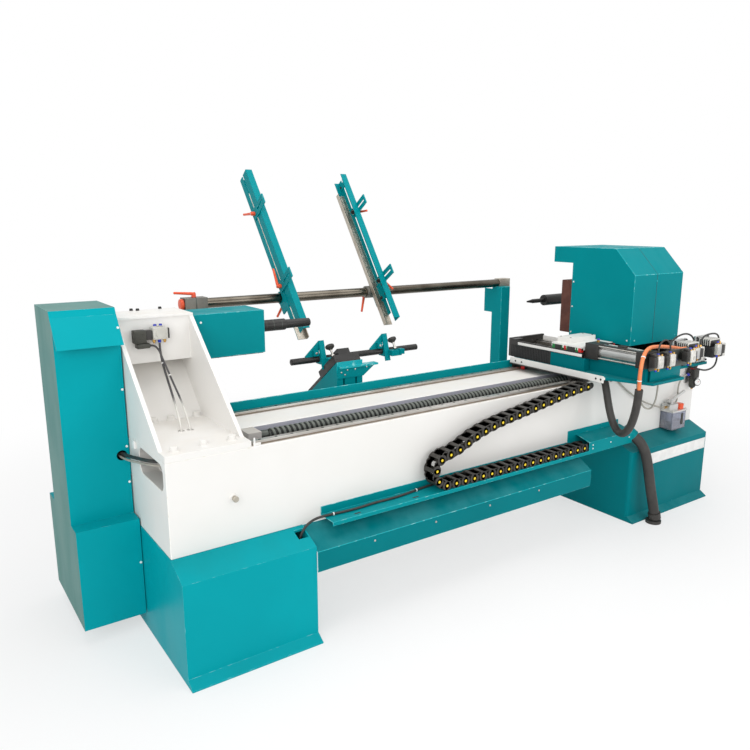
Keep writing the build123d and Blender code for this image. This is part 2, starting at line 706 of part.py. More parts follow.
def make_tailstock():
    side = [(640, 640), (790, 640), (790, 690), (768, 740), (768, 1085), (736, 1112), (675, 1112), (643, 1085),
            (643, 740), (640, 690)]
    body = prism_x(side, tailstock_left, tailstock_right)
    body -= block(tailstock_left + 40, tailstock_right - 40, 662, 750, 639, 930)
    return body - rod_x(tailstock_left - 1, tailstock_right + 1, axis_y, axis_z, quill_radius + running_gap)


def make_quill():
    quill = rod_x(quill_start, tailstock_right - 10, axis_y, axis_z, quill_radius)
    return quill - rod_x(quill_start - 1, quill_start + 151, axis_y, axis_z, 9 + running_gap)


def make_tail_centre():
    shank = rod_x(tail_tip + 60, quill_start + 148, axis_y, axis_z, 9)
    middle = rod_x(tail_tip + 40, quill_start - 0.4, axis_y, axis_z, 11)
    tip = Pos(tail_tip + 20, axis_y, axis_z) * Rot(0, 90, 0) * Cone(4, 10, 40)
    return shank + middle + tip


def make_air_unit():
    unit = block(2710, 2780, bed_front - 6, bed_front, 600, 700)
    unit += block(2722, 2768, 84, bed_front - 6, 628, 676)
    unit += rod_z(574, 628, 2745, 105, 19)
    unit += rod_z(676, 686, 2745, 105, 16)
    unit += rod_y(66, 84, 2757, 652, 20)
    unit += rod_x(2690, 2722, 105, 650, 9)
    return unit


def make_regulator_knob():
    return rod_z(686.4, 716, 2745, 105, 19)


def make_oil_pump():
    tank = block(2530, 2642, 62, bed_front, 392, 482)
    tank -= block(2534, 2638, 66, bed_front - 4, 396, 483)
    lid = block(2526, 2646, 58, bed_front, 482, 490)
    head = block(2520, 2592, 76, 120, 490, 520)
    barrel = rod_z(400, 484, 2556, 98, 12)
    filler = rod_z(490, 506, 2620, 84, 17)
    ears = block(2544, 2560, 84, 91.6, 520, lever_pin_z + 9)
    ears += block(2544, 2560, 104.4, 112, 520, lever_pin_z + 9)
    pin = rod_y(84, 112, lever_pin_x, lever_pin_z, lever_pin_radius)
    return tank + lid + head + barrel + filler + ears + pin


def make_pump_lever():
    hub = rod_y(92, 104, lever_pin_x, lever_pin_z, 9)
    outline = [(lever_pin_x, lever_pin_z - 6), (2672, 566), (2668, 577), (lever_pin_x, lever_pin_z + 7)]
    bore = rod_y(91, 105, lever_pin_x, lever_pin_z, lever_pin_radius + running_gap)
    return hub + prism_y(outline, 92, 104) - bore


def chain_path():
    # lower run in the tray, half turn at the left, upper run rising to the carriage
    bend_x = 1062.0
    low = 429.0
    radius = 60.0
    lower = Line((1876, 0, low), (bend_x, 0, low))
    half_turn = ThreePointArc((bend_x, 0, low), (bend_x - radius, 0, low + radius), (bend_x, 0, low + 2 * radius))
    upper = Spline((bend_x, 0, low + 2 * radius), (1185, 0, 592), (1456, 0, 653), (1730, 0, 697), (1912, 0, 714),
                   tangents=((1, 0, 0.12), (1, 0, 0.03)))
    return Wire([lower, half_turn, upper])


def make_drag_chain():
    path = chain_path()
    count = int(path.length // chain_pitch)
    width = chain_back - chain_front
    straight = chain_link - chain_height
    links = []
    for index in range(count):
        share = (index + 0.5) * chain_pitch / path.length
        place = path.position_at(share)
        ahead = path.tangent_at(share)
        plane = Plane(origin=(place.X, chain_back, place.Z), x_dir=(ahead.X, 0, ahead.Z), z_dir=(0, -1, 0))
        outline = SlotCenterToCenter(straight, chain_height)
        link = extrude(plane * outline, width)
        hollow = plane * Pos(0, 0, width / 2) * Box(chain_link + 2, chain_height - 10, width - 12)
        links.append(link - hollow)
    print("chain links", count, "path", round(path.length, 1))
    return group(*links)


def cord(points, diameter, name):
    # straight runs joined by tangent arcs, each as large as its two runs allow
    places = [Vector(*p) for p in points]
    radii = []
    for before, corner, after in zip(places, places[1:], places[2:]):
        turn = math.radians((corner - before).get_angle(after - corner))
        shorter = min((corner - before).length, (after - corner).length)
        radii.append(0.45 * shorter / math.tan(turn / 2))
    path = FilletPolyline(*places, radius=radii)
    start = Plane(origin=path @ 0, z_dir=path % 0)
    tube = sweep(start * Circle(diameter / 2), path=path)
    exact = math.pi * diameter ** 2 / 4 * path.length
    print(name, "length", round(path.length), "least radius", round(min(radii)), "radii",
          [round(r) for r in radii], "volume share", round(tube.volume / exact, 4))
    return tube


carriage_hose_route = [(1962, 52, 722), (1960, 40, 690), (1956, 24, 640), (1950, 4, 590), (1942, -22, 548),
                       (1929, -56, 522), (1911, -96, 522), (1894, -132, 548), (1880, -160, 592),
                       (1868, -180, 644), (1858, -194, 700), (1852, -200, 748)]
orange_sleeve_route = [(1852, -200, 748), (1849, -201, 772), (1848, -201, 800), (1852, -200, 834),
                       (1863, -196, 867), (1884, -189, 891), (1914, -180, 905), (1952, -170, 909),
                       (1998, -161, 906), (2048, -152, 900), (2102, -144, 892), (2158, -136, 883),
                       (2212, -128, 873), (2254, -122, 864), (2292, -122, 864)]
hanging_loop_route = [(2150, 20, 752), (2150, 20, 716), (2153, 18, 676), (2162, 14, 636), (2178, 10, 601),
                      (2202, 6, 574), (2231, 3, 562), (2259, 3, 566), (2281, 4, 588), (2293, 6, 622),
                      (2299, 8, 664), (2300, 10, 708), (2300, 10, 752)]
valve_arc_route = [(1953, -206, 889), (1953, -206, 910), (1964, -206, 929.4), (1983.4, -206, 940.5),
                   (2005.6, -206, 940.5), (2025, -206, 929.4), (2036, -206, 910), (2036, -206, 889)]
motor_arc_left_route = [(2222, -64, 764), (2222, -64, 800), (2223, -66, 836), (2228, -72, 868),
                        (2242, -80, 896), (2266, -88, 914), (2298, -93, 923), (2332, -95, 922),
                        (2362, -95, 912), (2384, -95, 896), (2394, -95, 878), (2394, -95, 862)]
motor_arc_right_route = [(2394, -125, 862), (2394, -125, 877), (2401, -125, 892), (2415, -124, 903),
                         (2438, -122, 909), (2466, -120, 911), (2498, -118, 911), (2526, -116, 908),
                         (2549, -114, 900), (2562, -112.5, 889), (2569, -111, 876), (2569, -111, 862)]
motor_cable_route = [(2569, -111, 800), (2569, -111, 784), (2564, -112, 768), (2551, -114, 755),
                     (2530, -117, 747), (2503, -120, 743), (2475, -122, 742), (2448, -122, 744),
                     (2426, -117, 749), (2411, -106, 754), (2405, -90, 757), (2405, -70, 757)]
floor_conduit_route = [(2209, 51.5, 422.5), (2223, 34, 404), (2234, 18, 378), (2242, 6, 347),
                       (2247, -3, 312), (2251, -10, 273), (2255, -17, 230), (2260, -23.5, 184),
                       (2267, -30, 137), (2276, -36, 92), (2284, -40, 50)]
valve_tube_route = [(153, 584, 998), (153, 584, 975), (154, 578, 945), (156, 562, 908), (158, 534, 868),
                    (158, 496, 826), (154, 452, 790), (147, 408, 762), (141, 378, 742), (140, 368, 708)]
valve_lead_route = [(114, 584, 992), (128, 584, 992), (141, 582, 984), (149, 577, 968), (155, 566, 942),
                    (162, 546, 908), (169, 518, 868), (175, 482, 828), (176, 440, 794), (173, 398, 762),
                    (170, 370, 736), (170, 362, 708)]
tower_cable_route = [(-30, 556, 641), (-28, 531, 640), (-25, 506, 640), (-21, 478, 641.5), (-16.5, 446, 645),
                     (-12, 411, 650), (-8, 374, 656.5), (-4, 337, 662.5), (2, 303, 667.5), (12, 273, 672),
                     (26, 248, 675), (44, 230, 676)]
tower_lead_route = [(-33, 556, 628), (-31, 531, 627), (-28, 506, 627), (-24.5, 478, 628.5), (-20, 446, 632),
                    (-15.5, 411, 637), (-11, 374, 643.5), (-6.5, 337, 649.5), (0, 303, 654.5), (10, 273, 658.5),
                    (24, 249, 661), (42, 233, 662)]
tray_cable_route = [(1880, 123, 416), (1780, 124, 416), (1680, 122.5, 416), (1580, 124, 416),
                    (1480, 122.5, 416), (1380, 124, 416), (1280, 122.5, 416), (1180, 124, 416),
                    (1080, 122.5, 416), (990, 118, 416), (910, 104, 416), (830, 96, 416), (750, 100, 416),
                    (670, 92, 416), (600, 96, 416), (545, 100, 417), (505, 103, 415), (472, 104, 402),
                    (449, 104, 379), (437, 104, 350)]
oil_line_route = [(2112, 126, 697), (2126, 126, 697), (2146, 125, 689), (2172, 124, 670), (2206, 122, 643),
                  (2252, 119, 611), (2306, 115, 579), (2362, 110, 552), (2418, 105, 531), (2464, 101, 516),
                  (2498, 98, 507), (2520, 98, 507)]
air_line_route = [(2690, 105, 650), (2672, 105, 650), (2656, 106.5, 641), (2645, 109.5, 626),
                  (2638, 112, 606), (2635.5, 112.5, 582), (2636, 112.5, 556), (2635.5, 112, 531),
                  (2626.5, 112, 515.3), (2610.5, 112, 506), (2592, 112, 506)]


def make_carriage_hoses():
    conduit = cord(carriage_hose_route, 33, "carriage conduit")
    sleeve = cord(orange_sleeve_route, 16, "orange sleeve")
    loop = cord(hanging_loop_route, 8, "hanging loop")
    arc = cord(valve_arc_route, 7, "valve arc")
    left_arc = cord(motor_arc_left_route, 8, "left motor arc")
    right_arc = cord(motor_arc_right_route, 8, "right motor arc")
    cable = cord(motor_cable_route, 8, "motor cable")
    return group(conduit, sleeve, loop, arc, left_arc, right_arc, cable)


def make_floor_conduit():
    return cord(floor_conduit_route, 48, "floor conduit")


def make_conduit_end():
    end_x, end_y, end_z = floor_conduit_route[-1]
    before = Vector(*floor_conduit_route[-2])
    end = Vector(end_x, end_y, end_z)
    plane = Plane(origin=end, z_dir=end - before)
    sleeve = extrude(plane * Circle(29), 30)
    flange = rod_z(0, 14, end_x, end_y, 36)
    return sleeve + flange


def make_head_tubes():
    return group(cord(valve_tube_route, 8, "valve tube"), cord(valve_lead_route, 7, "valve lead"),
                 cord(tower_cable_route, 12, "tower cable"), cord(tower_lead_route, 8, "tower lead"))


def make_bed_lines():
    return group(cord(tray_cable_route, 9, "tray cable"), cord(air_line_route, 8, "air line"),
                 cord(oil_line_route, 8, "oil line"))


parts = {
    "bed_beam": make_bed(),
    "bed_rails": make_rails(),
    "rear_strip": block(head_right + 3, 2780, strip_front, strip_back, bed_top, strip_top),
    "left_pedestal": make_left_pedestal(),
    "right_pedestal": make_right_pedestal(),
    "chip_panel": make_chip_panel(),
    "chain_tray": make_tray(),
    "tray_cover": make_tray_cover(),
    "screw_supports": make_screw_supports(),
    "headstock_frame": make_headstock_frame(),
    "spindle_box": make_spindle_box(),
    "tower_cover": make_tower(),
    "main_motor": make_main_motor(),
    "drive_belt": make_drive_belt(),
    "head_valve": make_head_valve(),
    "bar_clamp": make_bar_clamp(),
    "support_bar": make_support_bar(),
    "support_post": make_support_post(),
    "loader_bracket": make_loader_bracket(),
    "tailstock_shelf": make_tailstock_shelf(),
    "air_unit": make_air_unit(),
    "oil_pump": make_oil_pump(),
    "drag_chain": make_drag_chain(),
    "floor_conduit": make_floor_conduit(),
    "conduit_end": make_conduit_end(),
    "head_tubes": make_head_tubes(),
    "bed_lines": make_bed_lines(),
    "spindle_shaft": make_spindle_shaft(),
    "spindle_nose": make_spindle_nose(),
    "motor_pulley": make_motor_pulley(),
    "ball_screw": make_ball_screw(),
    "saddle": make_saddle(),
    "bed_blocks": make_bed_blocks(),
    "cross_base": make_cross_base(),
    "air_cylinder": make_air_cylinders(),
    "valve_bank": make_valve_bank(),
    "feed_motors": make_feed_motors(),
    "carriage_hoses": make_carriage_hoses(),
    "tool_slide": make_tool_slide(),
    "hood": make_hood(),
    "sander_frame": make_sander_frame(),
    "sanding_pad": make_sanding_pad(),
    "tailstock": make_tailstock(),
    "tail_quill": make_quill(),
    "tail_centre": make_tail_centre(),
    "loader_slide": make_loader_slide(),
    "loader_bar": make_loader_bar(),
    "bar_lever": make_bar_lever(),
    "pump_lever": make_pump_lever(),
    "regulator_knob": make_regulator_knob(),
}
for hand, arm_x, side in (("left", arm_left_x, 1), ("right", arm_right_x, -1)):
    parts[hand + "_arm"] = make_arm(arm_x, side)
    parts[hand + "_arm_collar"] = make_collar(arm_x, side)
    parts[hand + "_hub_lever"] = make_hub_lever(arm_x, side)
    for height, place, turn in zip(("upper", "lower"), flight_places, lever_turns[hand]):
        parts[hand + "_" + height + "_flight"] = make_flight(arm_x, side, place, turn)

# The part's own frame starts on the floor, below the middle of the whole machine without its cords.
cord_nodes = ("floor_conduit", "conduit_end", "head_tubes", "bed_lines", "carriage_hoses")
boxes = [shape.bounding_box() for name, shape in parts.items() if name not in cord_nodes]
middle_x = (min(b.min.X for b in boxes) + max(b.max.X for b in boxes)) / 2
middle_y = (min(b.min.Y for b in boxes) + max(b.max.Y for b in boxes)) / 2
print("frame origin in floor places", round(middle_x, 3), round(middle_y, 3), "nodes", len(parts))

os.makedirs("parts", exist_ok=True)
for name, shape in parts.items():
    export_step(Pos(-middle_x, -middle_y, 0) * shape, "parts/" + name + ".step")
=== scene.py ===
import bpy
import bmesh
import json
import math
from mathutils import Matrix, Vector


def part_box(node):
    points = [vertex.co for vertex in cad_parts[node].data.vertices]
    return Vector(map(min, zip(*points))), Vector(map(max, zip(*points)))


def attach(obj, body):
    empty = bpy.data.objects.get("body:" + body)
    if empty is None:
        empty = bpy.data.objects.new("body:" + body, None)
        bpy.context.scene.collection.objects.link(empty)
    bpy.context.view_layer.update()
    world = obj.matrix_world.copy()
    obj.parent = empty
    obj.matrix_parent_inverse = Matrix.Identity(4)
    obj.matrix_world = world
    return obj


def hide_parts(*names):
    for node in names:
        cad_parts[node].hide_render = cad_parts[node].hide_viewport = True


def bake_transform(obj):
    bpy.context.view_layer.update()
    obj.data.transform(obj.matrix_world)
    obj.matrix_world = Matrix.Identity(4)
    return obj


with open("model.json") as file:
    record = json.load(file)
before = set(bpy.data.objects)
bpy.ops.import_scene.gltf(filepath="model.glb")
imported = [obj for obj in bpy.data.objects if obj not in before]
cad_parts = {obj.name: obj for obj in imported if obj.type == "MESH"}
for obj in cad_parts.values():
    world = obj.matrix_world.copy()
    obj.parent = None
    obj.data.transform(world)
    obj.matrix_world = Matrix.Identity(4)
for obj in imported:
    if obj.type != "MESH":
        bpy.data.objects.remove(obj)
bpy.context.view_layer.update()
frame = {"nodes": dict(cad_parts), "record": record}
scene = bpy.context.scene
nodes = frame["nodes"]
record = frame["record"]
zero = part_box("left_pedestal")[0]  # front left corner of the left pedestal, on the floor
mm = 0.001
bodyOf = {node: body for body, members in record["behaviour"]["bodies"].items() for node in members}
print("frame loaded:", len(nodes), "nodes")


def at(x, y, z):  # machine millimetres to the part's metres
    return zero + Vector((x, y, z)) * mm


# node trees

class Wire:  # an output socket that takes part in sums
    def __init__(self, tree, socket):
        self.tree = tree
        self.socket = socket

    def calc(self, operation, first, second):
        return self.tree.node("ShaderNodeMath", {"operation": operation}, {0: first, 1: second})

    def __add__(self, other):
        return self.calc("ADD", self, other)

    def __sub__(self, other):
        return self.calc("SUBTRACT", self, other)

    def __rsub__(self, other):
        return self.calc("SUBTRACT", other, self)

    def __mul__(self, other):
        return self.calc("MULTIPLY", self, other)

    def __truediv__(self, other):
        return self.calc("DIVIDE", self, other)

    def __rtruediv__(self, other):
        return self.calc("DIVIDE", other, self)

    __radd__ = __add__
    __rmul__ = __mul__


class Tree:  # any node: its type, its settings, then its sockets
    def __init__(self, tree):
        self.tree = tree

    def node(self, kind, settings=None, sockets=None, out=0):
        made = self.tree.nodes.new(kind)
        for key, value in (settings or {}).items():
            setattr(made, key, value)
        for key, value in (sockets or {}).items():
            if isinstance(value, Wire):
                self.tree.links.new(value.socket, made.inputs[key])
            else:
                made.inputs[key].default_value = value
        return Wire(self, made.outputs[out])


class Finish(Tree):  # one material on Object coordinates
    def __init__(self, name, **constants):
        self.material = bpy.data.materials.new(name)
        self.material.use_nodes = True
        super().__init__(self.material.node_tree)
        self.shader = self.tree.nodes["Principled BSDF"]
        for key, value in constants.items():
            self.shader.inputs[key.replace("_", " ")].default_value = value
        self.place = self.node("ShaderNodeTexCoord", out="Object")

    def noise(self, scale, detail=3, stretch=(1, 1, 1)):
        spot = self.node("ShaderNodeMapping", {}, {"Vector": self.place, "Scale": stretch})
        return self.node("ShaderNodeTexNoise", {}, {"Vector": spot, "Scale": scale, "Detail": detail})

    def step(self, value, low, high):  # smooth mask from 0 at low to 1 at high
        return self.node("ShaderNodeMapRange", {"interpolation_type": "SMOOTHSTEP"},
                         {"Value": value, "From Min": low, "From Max": high})

    def tint(self, mask, first, second):
        return self.node("ShaderNodeMix", {"data_type": "RGBA"}, {0: mask, 6: first, 7: second}, out=2)

    def along(self, axis):  # the object's X, Y or Z in metres
        return self.node("ShaderNodeSeparateXYZ", {}, {0: self.place}, out=axis)

    def facing(self, axis):  # how far a face looks along X, Y or Z
        normal = self.node("ShaderNodeNewGeometry", {}, {}, out="Normal")
        return self.node("ShaderNodeSeparateXYZ", {}, {0: normal}, out=axis)

    def bump(self, height, strength, depth):
        return self.node("ShaderNodeBump", {},
                         {"Height": height, "Strength": strength, "Distance": depth * mm})

    def feed(self, socket, wire):
        self.tree.links.new(wire.socket, self.shader.inputs[socket])


def rgb(red, green, blue):  # screen colour, 0 to 255, as linear light
    return tuple((part / 255 / 12.92) if part < 11 else ((part / 255 + 0.055) / 1.055) ** 2.4
                 for part in (red, green, blue)) + (1.0,)


# finishes

def sprayPaint(name, colour, dustAndSheen, shade, gloss=0.3, peel=0.05, shine=0.5):
    paint = Finish(name, Specular_IOR_Level=shine)
    cloud = paint.noise(2.2, 4)
    smear = paint.noise(9, 5, (1, 1, 0.35))
    tone = paint.tint(paint.step(cloud, 0.3, 0.75), shade, colour)
    # upward faces blend towards the third colour given: dust on most paints, dust and a painted sheen on the
    # darkest teal
    onTop = paint.step(paint.facing("Z"), 0.55, 0.95) * paint.step(smear, 0.25, 0.8)
    paint.feed("Base Color", paint.tint(onTop * 0.55, tone, dustAndSheen))
    paint.feed("Roughness", paint.step(smear, 0.35, 0.85) * 0.16 + gloss + onTop * 0.2)
    grain = paint.noise(900, 2) + paint.noise(120, 2) * 0.6
    paint.feed("Normal", paint.bump(grain, peel, 0.6))
    return paint.material


def edgeHighlightAndWear(name, colour, spotWearAndHighlight):  # rounded edges in a lighter colour, a painted highlight along the folds, with spots of a second colour: beige wear on the white, a pale teal on the teal, painted highlight with wear
    paint = Finish(name, Specular_IOR_Level=0.3)
    wearAndHighlightSpots = paint.step(paint.noise(38, 4), 0.52, 0.7)
    paint.feed("Base Color", paint.tint(wearAndHighlightSpots, colour, spotWearAndHighlight))
    paint.feed("Roughness", wearAndHighlightSpots * 0.15 + 0.26)
    return paint.material


def bareMetal(name, colour, dark, rough, stretch, metallic=1.0, scratch=0.08):
    metal = Finish(name, Metallic=metallic)
    brush = metal.noise(60, 5, stretch)
    stain = metal.noise(7, 4)
    metal.feed("Base Color", metal.tint(metal.step(stain, 0.3, 0.8), colour, dark))
    metal.feed("Roughness", metal.step(brush, 0.2, 0.85) * 0.22 + rough)
    metal.feed("Normal", metal.bump(brush, scratch, 0.4))
    return metal.material


def spangle(name, colour, dark):  # zinc coat with its crystal pattern
    zinc = Finish(name, Metallic=0.85)
    cell = zinc.node("ShaderNodeTexVoronoi", {}, {"Vector": zinc.place, "Scale": 70.0}, out="Color")
    grey = zinc.node("ShaderNodeRGBToBW", {}, {0: cell})
    streak = zinc.noise(5, 4)
    zinc.feed("Base Color", zinc.tint(zinc.step(streak, 0.35, 0.75) * 0.8 + grey * 0.2, colour, dark))
    zinc.feed("Roughness", grey * 0.2 + 0.32)
    zinc.feed("Normal", zinc.bump(zinc.noise(300, 2), 0.05, 0.4))
    return zinc.material


def mouldedPlastic(name, colour, other, rough, grain=0.08, size=420):
    plastic = Finish(name, IOR=1.46)
    cloud = plastic.noise(24, 3)
    plastic.feed("Base Color", plastic.tint(plastic.step(cloud, 0.3, 0.75), colour, other))
    plastic.feed("Roughness", plastic.step(plastic.noise(60, 3), 0.3, 0.8) * 0.14 + rough)
    plastic.feed("Normal", plastic.bump(plastic.noise(size, 2), grain, 0.4))
    return plastic.material


def clearPlastic(name, colour, rough, through):
    plastic = Finish(name, IOR=1.45, Transmission_Weight=through)
    haze = plastic.step(plastic.noise(30, 3), 0.3, 0.8)
    darker = tuple(part * 0.93 for part in colour[:3]) + (1,)
    plastic.feed("Base Color", plastic.tint(haze, colour, darker))
    plastic.feed("Roughness", haze * 0.15 + rough)
    return plastic.material


def tubeHighlightBelow(name, upper, lower, height):  # dark tube painted white below a height: a painted highlight on its lower run
    tube = Finish(name, Roughness=0.35)
    mask = tube.step(tube.along("Z"), height - 0.02, height + 0.02)
    tube.feed("Base Color", tube.tint(mask, lower, upper))
    return tube.material


# one teal paint in three copies: the lit colour for the tower and the left pedestal, darker copies with
# painted shade for the other teal parts
teal = sprayPaint("tealPaint", rgb(0, 160, 170), rgb(24, 146, 152), rgb(0, 152, 162), 0.36, 0.05, 0.06)
tealDeep = sprayPaint("tealDeep", rgb(0, 140, 147), rgb(20, 132, 138), rgb(0, 132, 139), 0.36, 0.05, 0.06)
# its top colour is much lighter: a painted sheen on upward faces, with dust
tealShade = sprayPaint("tealShade", rgb(0, 120, 127), rgb(70, 150, 154), rgb(0, 112, 119), 0.32, 0.05, 0.05)
# greyer, darker teal: dust, with painted shade on the tower's outer side
tealDusty = sprayPaint("tealDusty", rgb(92, 136, 130), rgb(128, 150, 146), rgb(74, 128, 124), 0.45, 0.05, 0.1)
# edge colours lighter than their paints: painted highlight along the folds, with spots of wear and painted
# highlight
tealEdge = edgeHighlightAndWear("tealEdge", rgb(10, 164, 172), rgb(150, 212, 212))
white = sprayPaint("whitePaint", rgb(236, 234, 231), rgb(226, 221, 212), rgb(231, 229, 225), 0.34, 0.06, 0.3)
whiteEdge = edgeHighlightAndWear("whiteEdge", rgb(242, 240, 236), rgb(226, 222, 212))
groundSteel = bareMetal("groundSteel", rgb(196, 193, 188), rgb(160, 154, 146), 0.22, (0.05, 1, 1))
darkSteel = bareMetal("darkSteel", rgb(92, 96, 92), rgb(58, 58, 54), 0.32, (1, 1, 1))
polishedBar = bareMetal("polishedBar", rgb(112, 106, 96), rgb(70, 63, 54), 0.14, (0.03, 1, 1))
bearingGrey = sprayPaint("bearingGrey", rgb(190, 186, 180), rgb(176, 170, 160), rgb(178, 174, 168), 0.4)
castGrey = bareMetal("castGrey", rgb(128, 126, 120), rgb(96, 94, 88), 0.45, (1, 1, 1), 0.7)
aluminium = bareMetal("aluminium", rgb(214, 214, 212), rgb(186, 186, 184), 0.3, (1, 0.05, 1))
valveSilver = bareMetal("valveSilver", rgb(222, 220, 214), rgb(190, 188, 182), 0.3, (1, 1, 1), 0.55)
brass = bareMetal("brass", rgb(214, 170, 96), rgb(168, 122, 58), 0.24, (1, 1, 1))
zinc = spangle("zincSheet", rgb(190, 184, 172), rgb(142, 132, 118))
blackened = bareMetal("blackened", rgb(46, 45, 44), rgb(30, 29, 28), 0.34, (0.1, 1, 1), 0.35)
blackPlastic = mouldedPlastic("blackPlastic", rgb(48, 46, 44), rgb(40, 38, 36), 0.4)
chainPlastic = mouldedPlastic("chainPlastic", rgb(54, 51, 47), rgb(44, 42, 39), 0.45)
hoseRubber = mouldedPlastic("hoseRubber", rgb(58, 55, 52), rgb(48, 46, 44), 0.5, 0.12)
greyPlastic = mouldedPlastic("greyPlastic", rgb(200, 198, 190), rgb(184, 182, 174), 0.42)
motorBlack = mouldedPlastic("motorBlack", rgb(40, 39, 40), rgb(28, 28, 29), 0.36, 0.1, 260)
orangePlastic = mouldedPlastic("orangePlastic", rgb(236, 92, 52), rgb(220, 78, 42), 0.34)
bluePlastic = mouldedPlastic("bluePlastic", rgb(38, 58, 190), rgb(28, 44, 160), 0.3)
redPlastic = mouldedPlastic("redPlastic", rgb(206, 40, 36), rgb(180, 30, 30), 0.34)
greenPlastic = mouldedPlastic("greenPlastic", rgb(34, 128, 66), rgb(24, 104, 52), 0.38)
yellowPlastic = mouldedPlastic("yellowPlastic", rgb(246, 216, 44), rgb(236, 200, 30), 0.36)
whitePlastic = mouldedPlastic("whitePlastic", rgb(240, 240, 238), rgb(228, 228, 226), 0.4)
brownCloth = mouldedPlastic("brownCloth", rgb(98, 60, 50), rgb(82, 48, 40), 0.75, 0.35, 1500)
coilGrey = mouldedPlastic("coilGrey", rgb(62, 62, 55), rgb(46, 46, 41), 0.5, 0.12)
bellowsBlack = mouldedPlastic("bellowsBlack", rgb(26, 26, 26), rgb(18, 18, 18), 0.55)
# near black: painted shadow deep in the cable inlet
inletDark = mouldedPlastic("inletDark", rgb(20, 20, 20), rgb(14, 14, 14), 0.7)
# brown: painted shadow and shade along the rails
railBrown = mouldedPlastic("railBrown", rgb(126, 112, 96), rgb(104, 92, 78), 0.5)
greyTube = mouldedPlastic("greyTube", rgb(170, 166, 156), rgb(150, 146, 136), 0.35)
orangeSleeve = mouldedPlastic("orangeSleeve", rgb(236, 138, 84), rgb(214, 112, 60), 0.4)
# the bed's white made grey-lilac in the trough: painted shade
troughGrey = sprayPaint("troughGrey", rgb(178, 179, 190), rgb(152, 150, 156), rgb(164, 164, 174), 0.4)
# the bed's white made grey inside the cable inlet: painted shade
inletGrey = sprayPaint("inletGrey", rgb(206, 204, 200), rgb(196, 192, 184), rgb(190, 188, 184), 0.45,
                       shine=0.2)
tealSeam = sprayPaint("tealSeam", rgb(0, 84, 90), rgb(0, 90, 96), rgb(0, 76, 82))
tankPlastic = clearPlastic("tankPlastic", rgb(206, 210, 226), 0.12, 0.8)
oilFinish = clearPlastic("oilFinish", rgb(214, 190, 150), 0.05, 0.7)
# the valve's tube and lead turn white below z 806: painted highlight on their lower run
twoToneTube = tubeHighlightBelow("twoToneTube", rgb(62, 60, 62), rgb(214, 212, 206), at(0, 0, 806).z)
print("finishes made:", len(bpy.data.materials))


# meshes

limits = {"weld": 1e-6, "flat": math.radians(0.6), "bevel": math.radians(32), "soft": 0.6,
          "sharp": math.radians(35), "grownSharp": math.radians(40), "threadSharp": math.radians(50),
          "foldSharp": math.radians(20)}  # metres, then angles between faces


def bakeMesh(obj):  # the evaluated object as a plain mesh, modifiers used up
    bpy.context.view_layer.update()
    ready = obj.evaluated_get(bpy.context.evaluated_depsgraph_get())
    return bpy.data.meshes.new_from_object(ready)


def tempObject(mesh):
    obj = bpy.data.objects.new("temp", mesh)
    scene.collection.objects.link(obj)
    return obj


def roundEdges(mesh, width, segments=2, edgeSlot=-1):
    obj = tempObject(mesh)
    bevel = obj.modifiers.new("bevel", "BEVEL")
    bevel.width = width * mm
    bevel.segments = segments
    bevel.limit_method = "ANGLE"
    bevel.angle_limit = limits["bevel"]
    bevel.material = edgeSlot
    mesh.shade_smooth()
    obj.modifiers.new("flat", "WEIGHTED_NORMAL").keep_sharp = True
    baked = bakeMesh(obj)
    bpy.data.objects.remove(obj)
    return baked


def nodeMesh(node):  # a merged copy of a CAD node
    mesh = bpy.data.meshes.new(node)
    shape = bmesh.new()
    shape.from_mesh(nodes[node].data)
    bmesh.ops.remove_doubles(shape, verts=shape.verts, dist=limits["weld"])
    bmesh.ops.dissolve_limit(shape, angle_limit=limits["flat"], verts=shape.verts, edges=shape.edges)
    shape.to_mesh(mesh)
    shape.free()
    return mesh


def show(name, mesh, body, replaced=()):  # a finished piece on its body
    piece = bpy.data.objects.new(name, mesh)
    scene.collection.objects.link(piece)
    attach(piece, body)
    if replaced:
        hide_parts(*replaced)
    return piece


def dressMesh(node, finish, width=1.5, edge=None, segments=2, choose=None, drop=None):
    mesh = nodeMesh(node)
    if drop:
        shape = bmesh.new()
        shape.from_mesh(mesh)
        gone = [face for face in shape.faces if drop((face.calc_center_median() - zero) / mm)]
        bmesh.ops.delete(shape, geom=gone, context="FACES")
        shape.to_mesh(mesh)
        shape.free()
    finishes = list(finish) if isinstance(finish, (list, tuple)) else [finish]
    for material in finishes:
        mesh.materials.append(material)
    if choose:
        for face in mesh.polygons:
            face.material_index = choose((face.center - zero) / mm, face.normal)
    if edge:
        mesh.materials.append(edge)
    return roundEdges(mesh, width, segments, len(finishes) if edge else -1)


def dress(node, finish, width=1.5, **options):
    mesh = dressMesh(node, finish, width, **options)
    return show(node + "_dress", mesh, bodyOf[node], (node,))


def joinMeshes(name, meshes):
    finishes = []
    shape = bmesh.new()
    for mesh in meshes:
        start = len(shape.faces)
        shape.from_mesh(mesh)
        shape.faces.ensure_lookup_table()
        places = []
        for material in mesh.materials:
            if material not in finishes:
                finishes.append(material)
            places.append(finishes.index(material))
        for face in shape.faces[start:]:
            face.material_index = places[face.material_index] if places else 0
    joined = bpy.data.meshes.new(name)
    shape.to_mesh(joined)
    shape.free()
    for material in finishes:
        joined.materials.append(material)
    return joined


